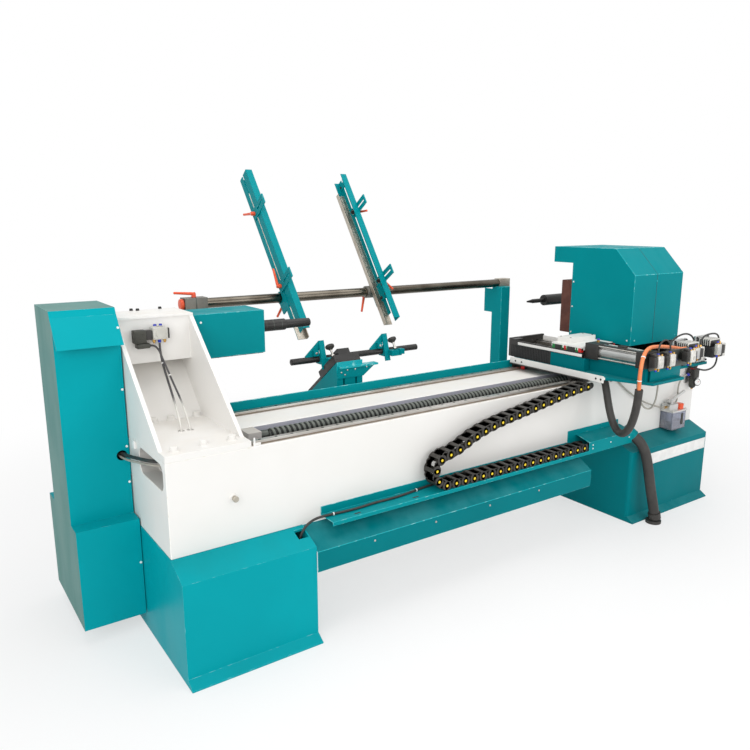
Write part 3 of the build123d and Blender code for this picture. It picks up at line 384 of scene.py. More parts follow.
class Form:  # solids in machine millimetres, gathered in one mesh
    def __init__(self):
        self.shape = bmesh.new()
        self.finishes = []
        self.shift = Vector()

    def take(self, verts, finish, soft):
        if finish not in self.finishes:
            self.finishes.append(finish)
        for face in {face for vert in verts for face in vert.link_faces}:
            face.material_index = self.finishes.index(finish)
        if soft:
            edges = dict.fromkeys(edge for vert in verts for edge in vert.link_edges
                                  if edge.calc_face_angle(0) > limits["soft"])
            bmesh.ops.bevel(self.shape, geom=list(edges), offset=soft, segments=2, profile=0.5,
                            affect="EDGES", material=-1)

    def block(self, x0, x1, y0, y1, z0, z1, finish, soft=1.0):
        middle = Vector((x0 + x1, y0 + y1, z0 + z1)) / 2 + self.shift
        size = Matrix.Diagonal((x1 - x0, y1 - y0, z1 - z0, 1))
        made = bmesh.ops.create_cube(self.shape, size=1.0, matrix=Matrix.Translation(middle) @ size)
        self.take(made["verts"], finish, soft)

    def rod(self, start, end, radius, finish, tip=None, sides=24, soft=0.0):
        first, last = Vector(start) + self.shift, Vector(end) + self.shift
        turn = (last - first).to_track_quat("Z", "Y").to_matrix().to_4x4()
        made = bmesh.ops.create_cone(self.shape, cap_ends=True, segments=sides, radius1=radius,
                                     radius2=radius if tip is None else tip, depth=(last - first).length,
                                     matrix=Matrix.Translation((first + last) / 2) @ turn)
        self.take(made["verts"], finish, soft)

    def ball(self, centre, radius, finish):
        made = bmesh.ops.create_uvsphere(self.shape, u_segments=20, v_segments=12, radius=radius,
                                         matrix=Matrix.Translation(centre))
        self.take(made["verts"], finish, 0)

    def skin(self, rings, finish):  # closed rings one after the other, with a cap at both ends
        for low, high in zip(rings, rings[1:]):
            for index in range(len(low)):
                after = (index + 1) % len(low)
                self.shape.faces.new((low[index], low[after], high[after], high[index]))
        self.shape.faces.new(rings[0][::-1])
        self.shape.faces.new(rings[-1])
        self.take([vert for ring in rings for vert in ring], finish, 0)

    def lathe(self, start, aim, profile, finish, sides=28):  # profile: distance along and radius
        turn = Vector(aim).to_track_quat("Z", "Y").to_matrix()
        rings = []
        for far, radius in profile:
            ring = []
            for index in range(sides):
                angle = 2 * math.pi * index / sides
                spot = Vector((math.cos(angle) * radius, math.sin(angle) * radius, far))
                ring.append(self.shape.verts.new(Vector(start) + self.shift + turn @ spot))
            rings.append(ring)
        self.skin(rings, finish)

    def prism(self, outline, reach, finish):
        ways = (Vector(), Vector(reach))
        self.skin([[self.shape.verts.new(Vector(spot) + way) for spot in outline] for way in ways], finish)

    def build(self, piece, shift=(0, 0, 0)):  # a row holds the values of one block, rod or lathe
        self.shift = Vector(shift)
        for row in piece.get("blocks", ()):
            self.block(*row)
        for row in piece.get("rods", ()):
            self.rod(*row)
        for row in piece.get("lathes", ()):
            self.lathe(*row)
        self.shift = Vector()
        return self

    def mesh(self, name):
        bmesh.ops.recalc_face_normals(self.shape, faces=self.shape.faces)
        toMetres = Matrix.Translation(zero) @ Matrix.Scale(mm, 4)
        bmesh.ops.transform(self.shape, matrix=toMetres, verts=self.shape.verts)
        made = bpy.data.meshes.new(name)
        self.shape.to_mesh(made)
        self.shape.free()
        for finish in self.finishes:
            made.materials.append(finish)
        made.shade_smooth()
        made.set_sharp_from_angle(angle=limits["sharp"])
        return made

    def place(self, name, body, slot, replaced=()):
        return show(name, self.mesh(name), body, replaced)


# geometry trees for what repeats

class Grow(Tree):  # a tree with named inputs; close() realises it and gives it its material
    def __init__(self, name, inputs):
        self.tree = bpy.data.node_groups.new(name, "GeometryNodeTree")
        face = self.tree.interface
        face.new_socket("Geometry", in_out="INPUT", socket_type="NodeSocketGeometry")
        self.keys = {label: face.new_socket(label, in_out="INPUT", socket_type=kind).identifier
                     for label, kind in {**inputs, "Finish": "NodeSocketMaterial"}.items()}
        face.new_socket("Geometry", in_out="OUTPUT", socket_type="NodeSocketGeometry")
        self.entry = self.tree.nodes.new("NodeGroupInput")
        self.exit = self.tree.nodes.new("NodeGroupOutput")

    def given(self, label):
        return Wire(self, self.entry.outputs[label])

    def xyz(self, x=0.0, y=0.0, z=0.0):
        return self.node("ShaderNodeCombineXYZ", {}, {0: x, 1: y, 2: z})

    def gather(self, *parts):
        joined = self.tree.nodes.new("GeometryNodeJoinGeometry")
        for part in reversed(parts):
            self.tree.links.new(part.socket, joined.inputs[0])
        return Wire(self, joined.outputs[0])

    def moved(self, shape, shift=(0, 0, 0), turn=(0, 0, 0), size=(1, 1, 1)):
        return self.node("GeometryNodeTransform", {},
                         {0: shape, "Translation": shift, "Rotation": turn, "Scale": size})

    def onPoints(self, shape, direction, axis):
        attribute = self.node("GeometryNodeInputNamedAttribute", {"data_type": "FLOAT_VECTOR"},
                              {0: direction})
        turn = self.node("FunctionNodeAlignRotationToVector", {"axis": axis}, {"Vector": attribute})
        return self.node("GeometryNodeInstanceOnPoints", {},
                         {"Points": self.given("Geometry"), "Instance": shape, "Rotation": turn})

    def close(self, shape):
        real = self.node("GeometryNodeRealizeInstances", {}, {0: shape})
        dressed = self.node("GeometryNodeSetMaterial", {}, {0: real, "Material": self.given("Finish")})
        self.tree.links.new(dressed.socket, self.exit.inputs[0])

    def grown(self, seed, values):
        obj = tempObject(seed)
        modifier = obj.modifiers.new("grow", "NODES")
        modifier.node_group = self.tree
        for label, value in values.items():
            modifier[self.keys[label]] = value
        mesh = bakeMesh(obj)
        bpy.data.objects.remove(obj)
        mesh.shade_smooth()
        mesh.set_sharp_from_angle(angle=limits["grownSharp"])
        return mesh


def seedPoints(places, aims):  # points in machine millimetres, each with a direction
    mesh = bpy.data.meshes.new("seed")
    mesh.from_pydata([at(*place) for place in places], [], [])
    aim = mesh.attributes.new("aim", "FLOAT_VECTOR", "POINT")
    for row, direction in zip(aim.data, aims):
        row.vector = direction
    return mesh


sizeSocket, countSocket = "NodeSocketFloat", "NodeSocketInt"


def buttonTree():  # round or hexagonal head with a chamfered top, standing on each point
    grow = Grow("buttons", {"Radius": sizeSocket, "Height": sizeSocket, "Sides": countSocket})
    radius, height, sides = grow.given("Radius"), grow.given("Height"), grow.given("Sides")
    foot = grow.node("GeometryNodeMeshCylinder", {},
                     {"Vertices": sides, "Radius": radius, "Depth": height * 0.7})
    top = grow.node("GeometryNodeMeshCone", {}, {"Vertices": sides, "Radius Top": radius * 0.8,
                                                 "Radius Bottom": radius, "Depth": height * 0.3})
    both = grow.gather(grow.moved(foot, grow.xyz(z=height * 0.35)), grow.moved(top, grow.xyz(z=height * 0.7)))
    grow.close(grow.onPoints(both, "aim", "Z"))
    return grow


def threadTree():  # screw surface: a grid rolled round the X axis, its radius following the lead
    grow = Grow("thread", {"Length": sizeSocket, "Radius": sizeSocket, "Depth": sizeSocket,
                           "Lead": sizeSocket, "Steps": countSocket})
    length, lead = grow.given("Length"), grow.given("Lead")
    sheet = grow.node("GeometryNodeMeshGrid", {}, {"Size X": length, "Size Y": 1.0,
                                                   "Vertices X": grow.given("Steps"), "Vertices Y": 25})
    spot = grow.node("GeometryNodeInputPosition")
    along = grow.node("ShaderNodeSeparateXYZ", {}, {0: spot}, out="X")
    around = grow.node("ShaderNodeSeparateXYZ", {}, {0: spot}, out="Y")
    angle = around * (2 * math.pi)
    turns = along / lead - around
    phase = turns.calc("FRACT", turns + 1000.0, 0.0)
    flank = grow.node("ShaderNodeMapRange", {"interpolation_type": "SMOOTHSTEP"},
                      {"Value": phase.calc("ABSOLUTE", phase - 0.5, 0.0), "From Min": 0.2, "From Max": 0.32})
    radius = grow.given("Radius") - flank * grow.given("Depth")
    across, up = (angle.calc(wave, angle, 0.0) * radius for wave in ("COSINE", "SINE"))
    place = grow.xyz(along, across, up)
    rolled = grow.node("GeometryNodeSetPosition", {}, {0: sheet, "Position": place})
    closed = grow.node("GeometryNodeMergeByDistance", {}, {0: rolled, "Distance": 0.00002})
    grow.close(grow.node("GeometryNodeFlipFaces", {}, {0: closed}))
    return grow


def linkTree():  # chain link: two rounded side plates and two crossbars, pointing along X
    labels = ("Straight", "Height", "Width", "Sheet", "Pitch", "Tongue", "Rung", "Over", "Inset")
    grow = Grow("chainLinks", {label: sizeSocket for label in labels})
    straight, height, width, sheet, pitch, tongue, rung, over, inset = (grow.given(label) for label in labels)

    def plate(middle, long, tall, across, thick):
        bar = grow.node("GeometryNodeMeshCube", {}, {"Size": grow.xyz(long, thick, tall)})
        end = grow.node("GeometryNodeMeshCylinder", {},
                        {"Vertices": 24, "Radius": tall * 0.5, "Depth": thick})
        ends = [grow.moved(end, grow.xyz(shift), (math.pi / 2, 0, 0)) for shift in (long * 0.5, long * -0.5)]
        return grow.moved(grow.gather(bar, *ends), grow.xyz(middle, across))

    parts = []
    for side in (-0.5, 0.5):  # own plate, the joint to the next link, the tongue to the last one
        parts.append(plate(0.0, straight, height, (width - sheet) * side, sheet))
        parts.append(plate(pitch * 0.5, straight * 0.6, height * 0.8, (width - sheet * 3.0) * side, sheet))
        parts.append(plate(tongue * -0.5, tongue, height * 0.94, (width - sheet * 3.2) * side, sheet * 0.8))
    for side in (-0.5, 0.5):
        size = grow.xyz(straight + over, width - sheet, rung)
        crossbar = grow.node("GeometryNodeMeshCube", {}, {"Size": size})
        parts.append(grow.moved(crossbar, grow.xyz(0.0, 0.0, (height - inset) * side)))
    grow.close(grow.onPoints(grow.gather(*parts), "aim", "X"))
    return grow


def pleatTree():  # row of four-sided bars along Y, standing on edge as the folds of a bellows
    grow = Grow("pleats", {"Count": countSocket, "Pitch": sizeSocket, "Depth": sizeSocket,
                           "Tall": sizeSocket})
    bar = grow.node("GeometryNodeMeshCylinder", {}, {"Vertices": 4, "Radius": grow.given("Pitch") * 0.5,
                                                     "Depth": grow.given("Tall")})
    bar = grow.moved(bar, size=grow.xyz(grow.given("Depth"), 1.0, 1.0))
    line = grow.node("GeometryNodeMeshLine", {}, {"Count": grow.given("Count"),
                                                  "Offset": grow.xyz(y=grow.given("Pitch"))})
    row = grow.node("GeometryNodeInstanceOnPoints", {}, {"Points": line, "Instance": bar})
    start = grow.node("GeometryNodeInstanceOnPoints", {}, {"Points": grow.given("Geometry"), "Instance": row})
    grow.close(start)
    return grow


buttons, thread, links, pleats = buttonTree(), threadTree(), linkTree(), pleatTree()


studSizes = {  # radius and height
    "sheetScrew": (4.2, 2.6), "capScrew": (6.5, 8), "capSocket": (2.925, 2.4), "baseBolt": (11.5, 2.5),
    "baseWasher": (18, 3.0), "slotRivet": (3.0, 1.2), "railCap": (5.5, 0.5), "smallScrew": (4, 2),
    "coverScrew": (3.4, 1.8), "linkDot": (5.4, 1.2), "hubNut": (8, 6), "endNut": (6, 5), "jawBolt": (6, 4),
    "saddleHole": (4.5, 0.6)}


def studs(places, aim, kind, finish, sides=16):
    radius, height = studSizes[kind]
    return buttons.grown(seedPoints(places, [aim] * len(places)), {
        "Radius": radius * mm, "Height": height * mm, "Sides": sides, "Finish": finish})


print("trees built")


# sheet metal and castings straight from the frame

tealSheets = {  # how wide their edges are rounded
    "left_pedestal": 2.0, "right_pedestal": 2.0, "chip_panel": 1.2, "chain_tray": 1.2, "tray_cover": 1.4,
    "tower_cover": 2.0, "spindle_box": 2.0, "support_post": 1.6, "hood": 2.0, "tailstock": 4.0,
    "tailstock_shelf": 2.0, "rear_strip": 1.4}
coats = {"left_pedestal": teal, "right_pedestal": tealShade, "chip_panel": tealShade,
         "tower_cover": [teal, tealDusty]}


def towerDustAndShade(spot, normal):  # the tower's top and outer side take a greyer, darker teal: dust on the top, painted shade on the outer side
    outerSide = normal.x < -0.9 and spot.x < -200
    return 1 if outerSide or normal.z > 0.9 and spot.z > 1130 else 0


for node, width in tealSheets.items():
    dustAndShade = towerDustAndShade if node == "tower_cover" else None
    dress(node, coats.get(node, tealDeep), width, edge=tealEdge, choose=dustAndShade)
dress("headstock_frame", white, 2.2, edge=whiteEdge, segments=3)
plainParts = {"bed_rails": groundSteel, "support_bar": polishedBar, "spindle_shaft": groundSteel,
              "motor_pulley": darkSteel, "tail_quill": blackened, "tail_centre": blackened,
              "bed_blocks": blackened, "sander_frame": blackened, "screw_supports": bearingGrey,
              "left_arm_collar": castGrey, "right_arm_collar": castGrey, "drive_belt": hoseRubber,
              "conduit_end": hoseRubber, "main_motor": motorBlack}
for node, finish in plainParts.items():
    dress(node, finish, 1.0)
print("sheets and plain parts dressed")


# headstock end

nose = {"start": 602, "box": 582, "axis": (705.6, 1004.0), "grooves": (622, 655, 692),
        "steps": [(0, 23.5), (1, 23.5), (110, 23.5), (112, 22), (112, 19), (225, 17), (227, 16)],
        "collar": [(0, 31), (0.5, 32.5), (13, 32.5), (14.5, 31), (18, 25)],
        "groove": [(0, 23.7), (0.4, 23.8), (1.6, 23.8), (2, 23.7)]}


def drawNose():
    form = Form()
    rows = [(nose["start"], nose["steps"], blackened), (nose["box"] + 1.5, nose["collar"], groundSteel)]
    rows += [(far, nose["groove"], darkSteel) for far in nose["grooves"]]
    for far, profile, finish in rows:
        form.lathe((far, *nose["axis"]), (1, 0, 0), profile, finish, 40)
    form.place("spindleNose", "spindle", "black_steel", ("spindle_nose",))


headValve = {
    "blocks": [(127, 180, 566, 606, 1012, 1055, greyPlastic, 3),  # body
               (104, 127, 571, 602, 1013, 1046, blackPlastic, 2),  # neck
               (62, 104, 568, 604, 1003, 1048, coilGrey, 2.5),  # coil
               *((66, 100, 566.8, 569, z, z + 3.5, coilGrey, 0.6) for z in (1012, 1020, 1028, 1036)),
               (70, 114, 566, 600, 985, 1002, coilGrey, 2),  # plug
               (180, 187, 570, 602, 1014, 1051, blackPlastic, 1.5)],  # end cap
    "rods": [((153, 567, 1034), (153, 562.5, 1034), 17, greyPlastic, 15.5, 32),  # round cover and its screws
             ((153, 563, 1034), (153, 561.6, 1034), 11, greyPlastic, 10.4, 32),
             *(((x, 566.5, z), (x, 564.5, z), 2.4, groundSteel, None, 12)
               for x in (131, 175.5) for z in (1017, 1050)),
             ((92, 584, 1002), (92, 584, 1005), 9, coilGrey, None, 20),
             ((113, 583, 992), (121, 583, 992), 5.5, blackPlastic, 4.5, 16),  # where the lead leaves the plug
             *(((x, 584, 1013), (x, 584, 1003), 5.5, brass, None, 6) for x in (134, 172)),  # fittings below
             *(((x, 584, 1003), (x, 584, 998), 4, brass, 3.4, 16) for x in (134, 172)),
             ((153, 584, 1013), (153, 584, 1000), 6.5, bluePlastic, 5.6, 20),
             *(((x, 584, 1054), (x, 584, 1060), 7.5, greyPlastic, None, 6) for x in (140, 160)),  # and on top
             *(((x, 584, 1060), (x, 584, 1066), 6.2, bluePlastic, 5.2, 20) for x in (140, 160))]}
clampLever = {"finish": orangePlastic, "hub": [(0, 9), (1, 9.8), (16, 9), (20, 7.2), (21.5, 4.5)],
              "root": 12, "bend": (15, 10), "tip": (17, 6), "overlap": 2,  # up the hub and along the arm
              "radii": (7.02, 6.48, 4.95), "ball": 5.58, "screw": (20, 22.6, 3.78, 3.24)}


def drawLever(form, root, axis, reach, length):  # hub, tapered arm, ball end, screw
    root, axis, reach = Vector(root), Vector(axis).normalized(), Vector(reach).normalized()
    finish = clampLever["finish"]
    (bendUp, bendOut), (tipUp, tipShort) = clampLever["bend"], clampLever["tip"]
    thick, middle, thin = clampLever["radii"]
    form.lathe(root, axis, clampLever["hub"], finish, 24)
    bend = root + axis * bendUp + reach * bendOut
    tip = root + axis * tipUp + reach * (length - tipShort)
    form.rod(root + axis * clampLever["root"], bend, thick, finish, middle, 16)
    form.rod(bend - reach * clampLever["overlap"], tip, middle, finish, thin, 16)
    form.ball(tip, clampLever["ball"], finish)
    low, high, foot, head = clampLever["screw"]
    form.rod(root + axis * low, root + axis * high, foot, groundSteel, head, 6)


barEnd = {
    "lathes": [((363.5, 960, 1082), (1, 0, 0), [(0, 17), (1, 21), (2, 23), (13, 23.4), (14.2, 22.6)],
                orangePlastic, 32)],  # end cap
    "blocks": [(424, 428, 928.6, 991.4, 1041, 1110.2, darkSteel, 0.6),  # slit in the clamp
               (2166, 2241, 936.5, 983.5, 1058.5, 1106, zinc, 1.5)],  # clamp on the post
    "stud": {"rods": [((426, 960, 1104), (426, 960, 1113), 5, groundSteel, None, 16)]},
    "lever": {"root": (426, 960, 1109.6), "axis": (0, 0, 1), "reach": (-1, 0, 0.06), "length": 86}}


def drawBarEnd():
    def pickClamp(spot, normal):
        if spot.y < 931 and spot.z < 1079:
            return 1
        return 2 if spot.x < 425 else 0

    dress("bar_clamp", [castGrey, zinc, darkSteel], 1.5, choose=pickClamp)
    Form().build(barEnd).place("barCap", "root", "orange_plastic")
    lever = Form().build(barEnd["stud"])
    drawLever(lever, **barEnd["lever"])
    lever.place("barLever", "bar_handle", "orange_plastic", ("bar_lever",))


headScrews = {"tower": [(-9, 504.6, 865), (-9, 504.6, 664), (-9, 504.6, 535), (-9, 437.6, 258)],
              "flap": [(-9, 499.5, 1076)],
              "box": [(322, 618.8, 1052), (322, 618.8, 962)],
              "top": [(118, 786, 1094), (138, 774, 1094), (226, 786, 1094)],
              "bolts": [(45, 171), (145, 180), (240, 179), (95, 520), (155, 522), (250, 520)],
              "socketLift": 6, "boltHead": 743.0, "washer": 727.2}
boxSlot = {"blocks": [(304, 574, 621, 640, 911.6, 914.2, blackPlastic, 0.4)],
           "rivets": [(330 + 56 * index, 624, 911.8) for index in range(5)]}


def drawHeadScrews():
    whites = studs(headScrews["tower"] + headScrews["box"], (0, -1, 0), "sheetScrew", whitePlastic)
    flap = studs(headScrews["flap"], (0, -0.79, 0.61), "sheetScrew", whitePlastic)
    show("sheetScrews", joinMeshes("sheetScrews", [whites, flap]), "root")
    heads = studs(headScrews["top"], (0, 0, 1), "capScrew", blackened, 20)
    inner = [(x, y, z + headScrews["socketLift"]) for x, y, z in headScrews["top"]]
    sockets = studs(inner, (0, 0, 1), "capSocket", blackPlastic, 6)
    show("topScrews", joinMeshes("topScrews", [heads, sockets]), "root")
    tops = [(x, y, headScrews["boltHead"]) for x, y in headScrews["bolts"]]
    feet = [(x, y, headScrews["washer"]) for x, y in headScrews["bolts"]]
    bolts = joinMeshes("bolts", [studs(tops, (0, 0, 1), "baseBolt", white, 6),
                                 studs(feet, (0, 0, 1), "baseWasher", white, 28)])
    show("baseBolts", bolts, "root")
    Form().build(boxSlot).place("boxSlot", "root", "black_steel")
    rivets = studs(boxSlot["rivets"], (0, 0, -1), "slotRivet", groundSteel, 12)
    show("slotRivets", rivets, "root")


drawNose()
Form().build(headValve).place("headValve", "root", "valve_plastic", ("head_valve",))
drawBarEnd()
drawHeadScrews()
print("headstock end drawn")


# bed, its rails and the feed screw

bed = {"x": (2, 2800), "y": (132, 560), "z": (390, 706), "trough": (300, 170, 345, 640),
       "inlet": (160, 400, 602, 690, 30), "inletDepth": 60, "screw": (286, 687)}


def inletHalves():  # rounded outline of the cable inlet: up its front side, then down its rear side
    front, back, low, high, radius = bed["inlet"]
    halves = ([], [])
    corners = ((front, low, 270), (front, high, 180), (back, high, 90), (back, low, 0))
    for index, (y, z, start) in enumerate(corners):
        middle = y + radius if y == front else y - radius
        level = z + radius if z == low else z - radius
        for turn in range(7):
            angle = math.radians(start - 15 * turn)
            spot = (middle + radius * math.cos(angle), level + radius * math.sin(angle))
            halves[index // 2].append(spot)
    return halves


def drawBed():
    (x0, x1), (y0, y1), (z0, z1) = bed["x"], bed["y"], bed["z"]
    left, front, back, floor = bed["trough"]
    rising, falling = inletHalves()
    half = (bed["inlet"][0] + bed["inlet"][1]) / 2
    deep = x0 + bed["inletDepth"]
    shape = bmesh.new()
    spots = {}

    def face(corners, slot=0):
        verts = []
        for corner in corners:
            key = tuple(round(part, 3) for part in corner)
            if key not in spots:
                spots[key] = shape.verts.new(at(*corner))
            verts.append(spots[key])
        shape.faces.new(verts).material_index = slot

    face([(x0, y0, z0), (x1, y0, z0), (x1, y0, z1), (left, y0, z1), (x0, y0, z1)])
    face([(x1, y1, z0), (x0, y1, z0), (x0, y1, z1), (left, y1, z1), (x1, y1, z1)])
    face([(x0, y1, z0), (x1, y1, z0), (x1, y0, z0), (x0, y0, z0), (x0, half, z0)])
    face([(x0, y0, z1), (left, y0, z1), (left, front, z1), (left, back, z1), (left, y1, z1), (x0, y1, z1),
          (x0, half, z1)])
    face([(left, y0, z1), (x1, y0, z1), (x1, front, z1), (left, front, z1)])
    face([(left, back, z1), (x1, back, z1), (x1, y1, z1), (left, y1, z1)])
    # the trough's walls and floor: painted shade
    face([(left, front, floor), (left, front, z1), (x1, front, z1), (x1, front, floor)], 1)
    face([(left, back, z1), (left, back, floor), (x1, back, floor), (x1, back, z1)], 1)
    face([(left, front, floor), (x1, front, floor), (x1, back, floor), (left, back, floor)], 1)
    face([(left, front, z1), (left, front, floor), (left, back, floor), (left, back, z1)], 1)
    face([(x1, y0, z0), (x1, y1, z0), (x1, y1, z1), (x1, back, z1), (x1, back, floor), (x1, front, floor),
          (x1, front, z1), (x1, y0, z1)])
    top, low = (half, bed["inlet"][3]), (half, bed["inlet"][2])
    face([(x0, y0, z1), (x0, y0, z0), (x0, half, z0), (x0, *low)] + [(x0, *spot) for spot in rising]
         + [(x0, *top), (x0, half, z1)])
    face([(x0, half, z1), (x0, *top)] + [(x0, *spot) for spot in falling]
         + [(x0, *low), (x0, half, z0), (x0, y1, z0), (x0, y1, z1)])
    ring = rising + [top] + falling + [low]
    # the inlet's walls and bottom: painted shade
    for first, second in zip(ring, ring[1:] + ring[:1]):
        face([(x0, *first), (x0, *second), (deep, *second), (deep, *first)], 2)
    face([(deep, *spot) for spot in ring], 2)
    bmesh.ops.recalc_face_normals(shape, faces=shape.faces)
    mesh = bpy.data.meshes.new("bedBeam")
    shape.to_mesh(mesh)
    shape.free()
    for finish in (white, troughGrey, inletGrey, whiteEdge):
        mesh.materials.append(finish)
    rounded = roundEdges(mesh, 2.5, segments=3, edgeSlot=3)
    show("bedBeam", rounded, "root", ("bed_beam",))


feedScrew = {"middle": 1540, "length": 2240, "radius": 21, "depth": 5.5, "lead": 20, "steps": 1569,
             "journals": ((315, 382, 10, groundSteel), (381, 421, 18, darkSteel),
                          (2659, 2830, 10, groundSteel))}


def threadMetal(name, colour, root):  # bright crests over dark roots
    metal = Finish(name, Metallic=0.3, Specular_IOR_Level=0.3)
    radius, depth = feedScrew["radius"] * mm, feedScrew["depth"] * mm
    centre = at(0, *bed["screw"])
    flat = metal.node("ShaderNodeVectorMath", {"operation": "MULTIPLY"}, {0: metal.place, 1: (0, 1, 1)})
    away = metal.node("ShaderNodeVectorMath", {"operation": "DISTANCE"},
                      {0: flat, 1: (0, centre.y, centre.z)}, out="Value")
    crest = metal.step(away, radius - depth * 0.75, radius - depth * 0.1)
    metal.feed("Base Color", metal.tint(crest, root, colour))
    metal.feed("Roughness", metal.noise(40, 4) * 0.2 + 0.35)
    return metal.material


def drawScrew():
    axis = bed["screw"]
    sizes = {label: feedScrew[label.lower()] * mm for label in ("Length", "Radius", "Depth", "Lead")}
    threadSteel = threadMetal("threadSteel", rgb(104, 108, 102), rgb(40, 42, 40))
    values = {**sizes, "Steps": feedScrew["steps"], "Finish": threadSteel}
    mesh = thread.grown(bpy.data.meshes.new("seed"), values)
    mesh.transform(Matrix.Translation(at(feedScrew["middle"], *axis)))
    form = Form()
    for start, end, radius, finish in feedScrew["journals"]:
        form.rod((start, *axis), (end, *axis), radius, finish, None, 32, 0.6)
    whole = joinMeshes("feedScrew", [mesh, form.mesh("journals")])
    whole.shade_smooth()
    whole.set_sharp_from_angle(angle=limits["threadSharp"])
    show("feedScrew", whole, "screw", ("ball_screw",))


bedPins = {
    "lathes": [((218, 132.5, 548), (0, -1, 0), [(0, 15), (2, 15), (3, 12.6), (6, 12.6)], white, 28),  # boss
               ((218, 127, 548), (0, -1, 0), [(0, 9), (9, 9), (10, 10), (15, 10), (16, 9)], zinc, 28)],  # pin
    "rods": [((300, 137, 706), (300, 137, 734), 4, whitePlastic, 3, 12, 0.6)],  # peg at the front rail's end
    "blocks": [(296, 322, 134, 139.5, 706, 716, white, 1),
               (2100, 2112, 121, 132.5, 688, 705, blackPlastic, 1.5),  # clip of the oil line
               *((295, 2785, y - 0.4, y + 0.3, 708, 713, railBrown, 0) for y in (140, 497)),  # brown strips beside the rails and along their tops: painted shadow and shade
               *((295, 2785, y - 2.4, y - 1.4, 720.4, 721.1, railBrown, 0) for y in (163, 520)),
               (58, 61, 190, 394, 652, 690, inletDark, 0),  # near-black sheet in the upper deep part of the cable inlet: painted shadow
               (-5, 2.2, 428, 452, 672, 698, whitePlastic, 2)],
    "railCaps": [(325 + 60 * index, y, 720.9) for index in range(41) for y in (151.5, 508.5)]}

drawBed()
drawScrew()
show("railCaps", studs(bedPins["railCaps"], (0, 0, 1), "railCap", darkSteel, 20), "root")
Form().build(bedPins).place("bedPins", "root", "white_paint")
print("bed drawn")


# cable chain and tray

chain = {"width": 60, "height": 34, "straight": 10, "sheet": 3.4, "pitch": 47, "tongue": 34, "bentTongue": 1,
         "rung": 4, "over": 6, "inset": 5, "bend": range(15, 21), "lowerRun": 450,
         "blendMetres": 100}  # in metres
trayDetails = {"panelScrews": [(x, 27.8, 308) for x in (701, 982, 1261, 1543)],
               "coverScrews": [(1905, 46.6, 420), (1905, 46.6, 436), (2165, 46.6, 428), (2030, 46.6, 428)],
               "blocks": [(x, x + 26, 62, 70, 410.6, 411.3, blackPlastic, 0.2)
                          for x in (640, 900, 1200, 1500, 1780)]}


def islandCentres(mesh):  # middle of every loose piece of a mesh
    shape = bmesh.new()
    shape.from_mesh(mesh)
    left = set(shape.verts)
    centres = []
    while left:
        stack = [left.pop()]
        island = []
        while stack:
            vert = stack.pop()
            island.append(vert.co.copy())
            for edge in vert.link_edges:
                other = edge.other_vert(vert)
                if other in left:
                    left.discard(other)
                    stack.append(other)
        low = Vector([min(spot[axis] for spot in island) for axis in range(3)])
        high = Vector([max(spot[axis] for spot in island) for axis in range(3)])
        centres.append(((low + high) / 2 - zero) / mm)
    shape.free()
    return centres


def chainPlaces():  # middles of the links in their order, from the fixed end in the tray
    loose = islandCentres(nodeMesh("drag_chain"))
    places = [max((spot for spot in loose if spot.z < chain["lowerRun"]), key=lambda spot: spot.x)]
    loose.remove(places[0])
    while loose:
        nearest = min(loose, key=lambda spot: (spot - places[-1]).length)
        loose.remove(nearest)
        places.append(nearest)
    return places


def drawChain():
    places = chainPlaces()
    labels = ("Straight", "Height", "Width", "Sheet", "Pitch", "Rung", "Over", "Inset")
    sizes = {label: chain[label.lower()] * mm for label in labels}
    rise = Vector((0, 0, chain["blendMetres"]))
    for index, place in enumerate(places):
        before, after = places[max(index - 1, 0)], places[min(index + 1, len(places) - 1)]
        tongue = chain["bentTongue" if index in chain["bend"] else "tongue"] * mm
        body = links.grown(seedPoints([place], [(after - before).normalized()]),
                           {**sizes, "Tongue": tongue, "Finish": chainPlastic})
        dots = studs([place - Vector((0, chain["width"] / 2, 0))], (0, -1, 0), "linkDot", yellowPlastic, 20)
        link = bpy.data.objects.new("chainLink%02d" % index, joinMeshes("chainLink", [body, dots]))
        scene.collection.objects.link(link)
        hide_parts("drag_chain")
        share = (index + 0.5) / len(places)
        reach = 0.5 - math.sin(math.asin(1 - 2 * share) / 3)  # where the smooth blend equals the share
        start = zero + place * mm - rise * reach
        start + rise
        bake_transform(link)
    print("chain links", len(places))


drawChain()
for name, kind, finish, slot in (("panelScrews", "smallScrew", groundSteel, "teal_paint"),
                                 ("coverScrews", "coverScrew", whitePlastic, "white_paint")):
    show(name, studs(trayDetails[name], (0, -1, 0), kind, finish, 14), "root")
Form().build(trayDetails).place("traySlots", "root", "black_steel")
print("chain drawn")


# magazine arms

arms = {
    "left": {"plane": 823.0, "side": 1, "turns": (-55.0, 12.0), "lean": math.radians(37.7), "top": 640,
             "hubTurn": math.radians(40)},
    "right": {"plane": 1345.0, "side": -1, "turns": (120.0, 150.0), "lean": math.radians(34.8), "top": 615,
              "hubTurn": math.radians(28)},
    "bar": (960.0, 1082.0), "bore": 21.9, "boreRoom": 0.4, "flights": {"upper": 420.0, "lower": 24.0},
    "hubNuts": {"across": 10, "spots": ((-60, 45), (-60, 85), (-8, 85))},
    "endNuts": {"across": 6, "below": 35, "outs": (42, 90)}}
hubLever = {"across": 42, "stud": (-22, -34), "studRadius": 5, "root": -30, "length": 92}
flightClamp = {"out": 61, "leverRoot": -8.6, "leverLength": 84, "plate": (-8.7, 2.3),
               "screw": ((-9, 5, 4.4, blackened, 16, 0), (2.4, 4, 12, groundSteel, 24, 0),
                         (4, 13, 9, blackened, 6, 0.6))}  # from and to across the arm, radius, finish, sides


def armPlace(hand, spot):  # along the arm, out from the bar, across from the arm's own plane
    arm = arms[hand]
    y, z = spot.y - arms["bar"][0], spot.z - arms["bar"][1]
    sine, cosine = math.sin(arm["lean"]), math.cos(arm["lean"])
    return y * sine + z * cosine, z * sine - y * cosine, arm["side"] * (spot.x - arm["plane"])


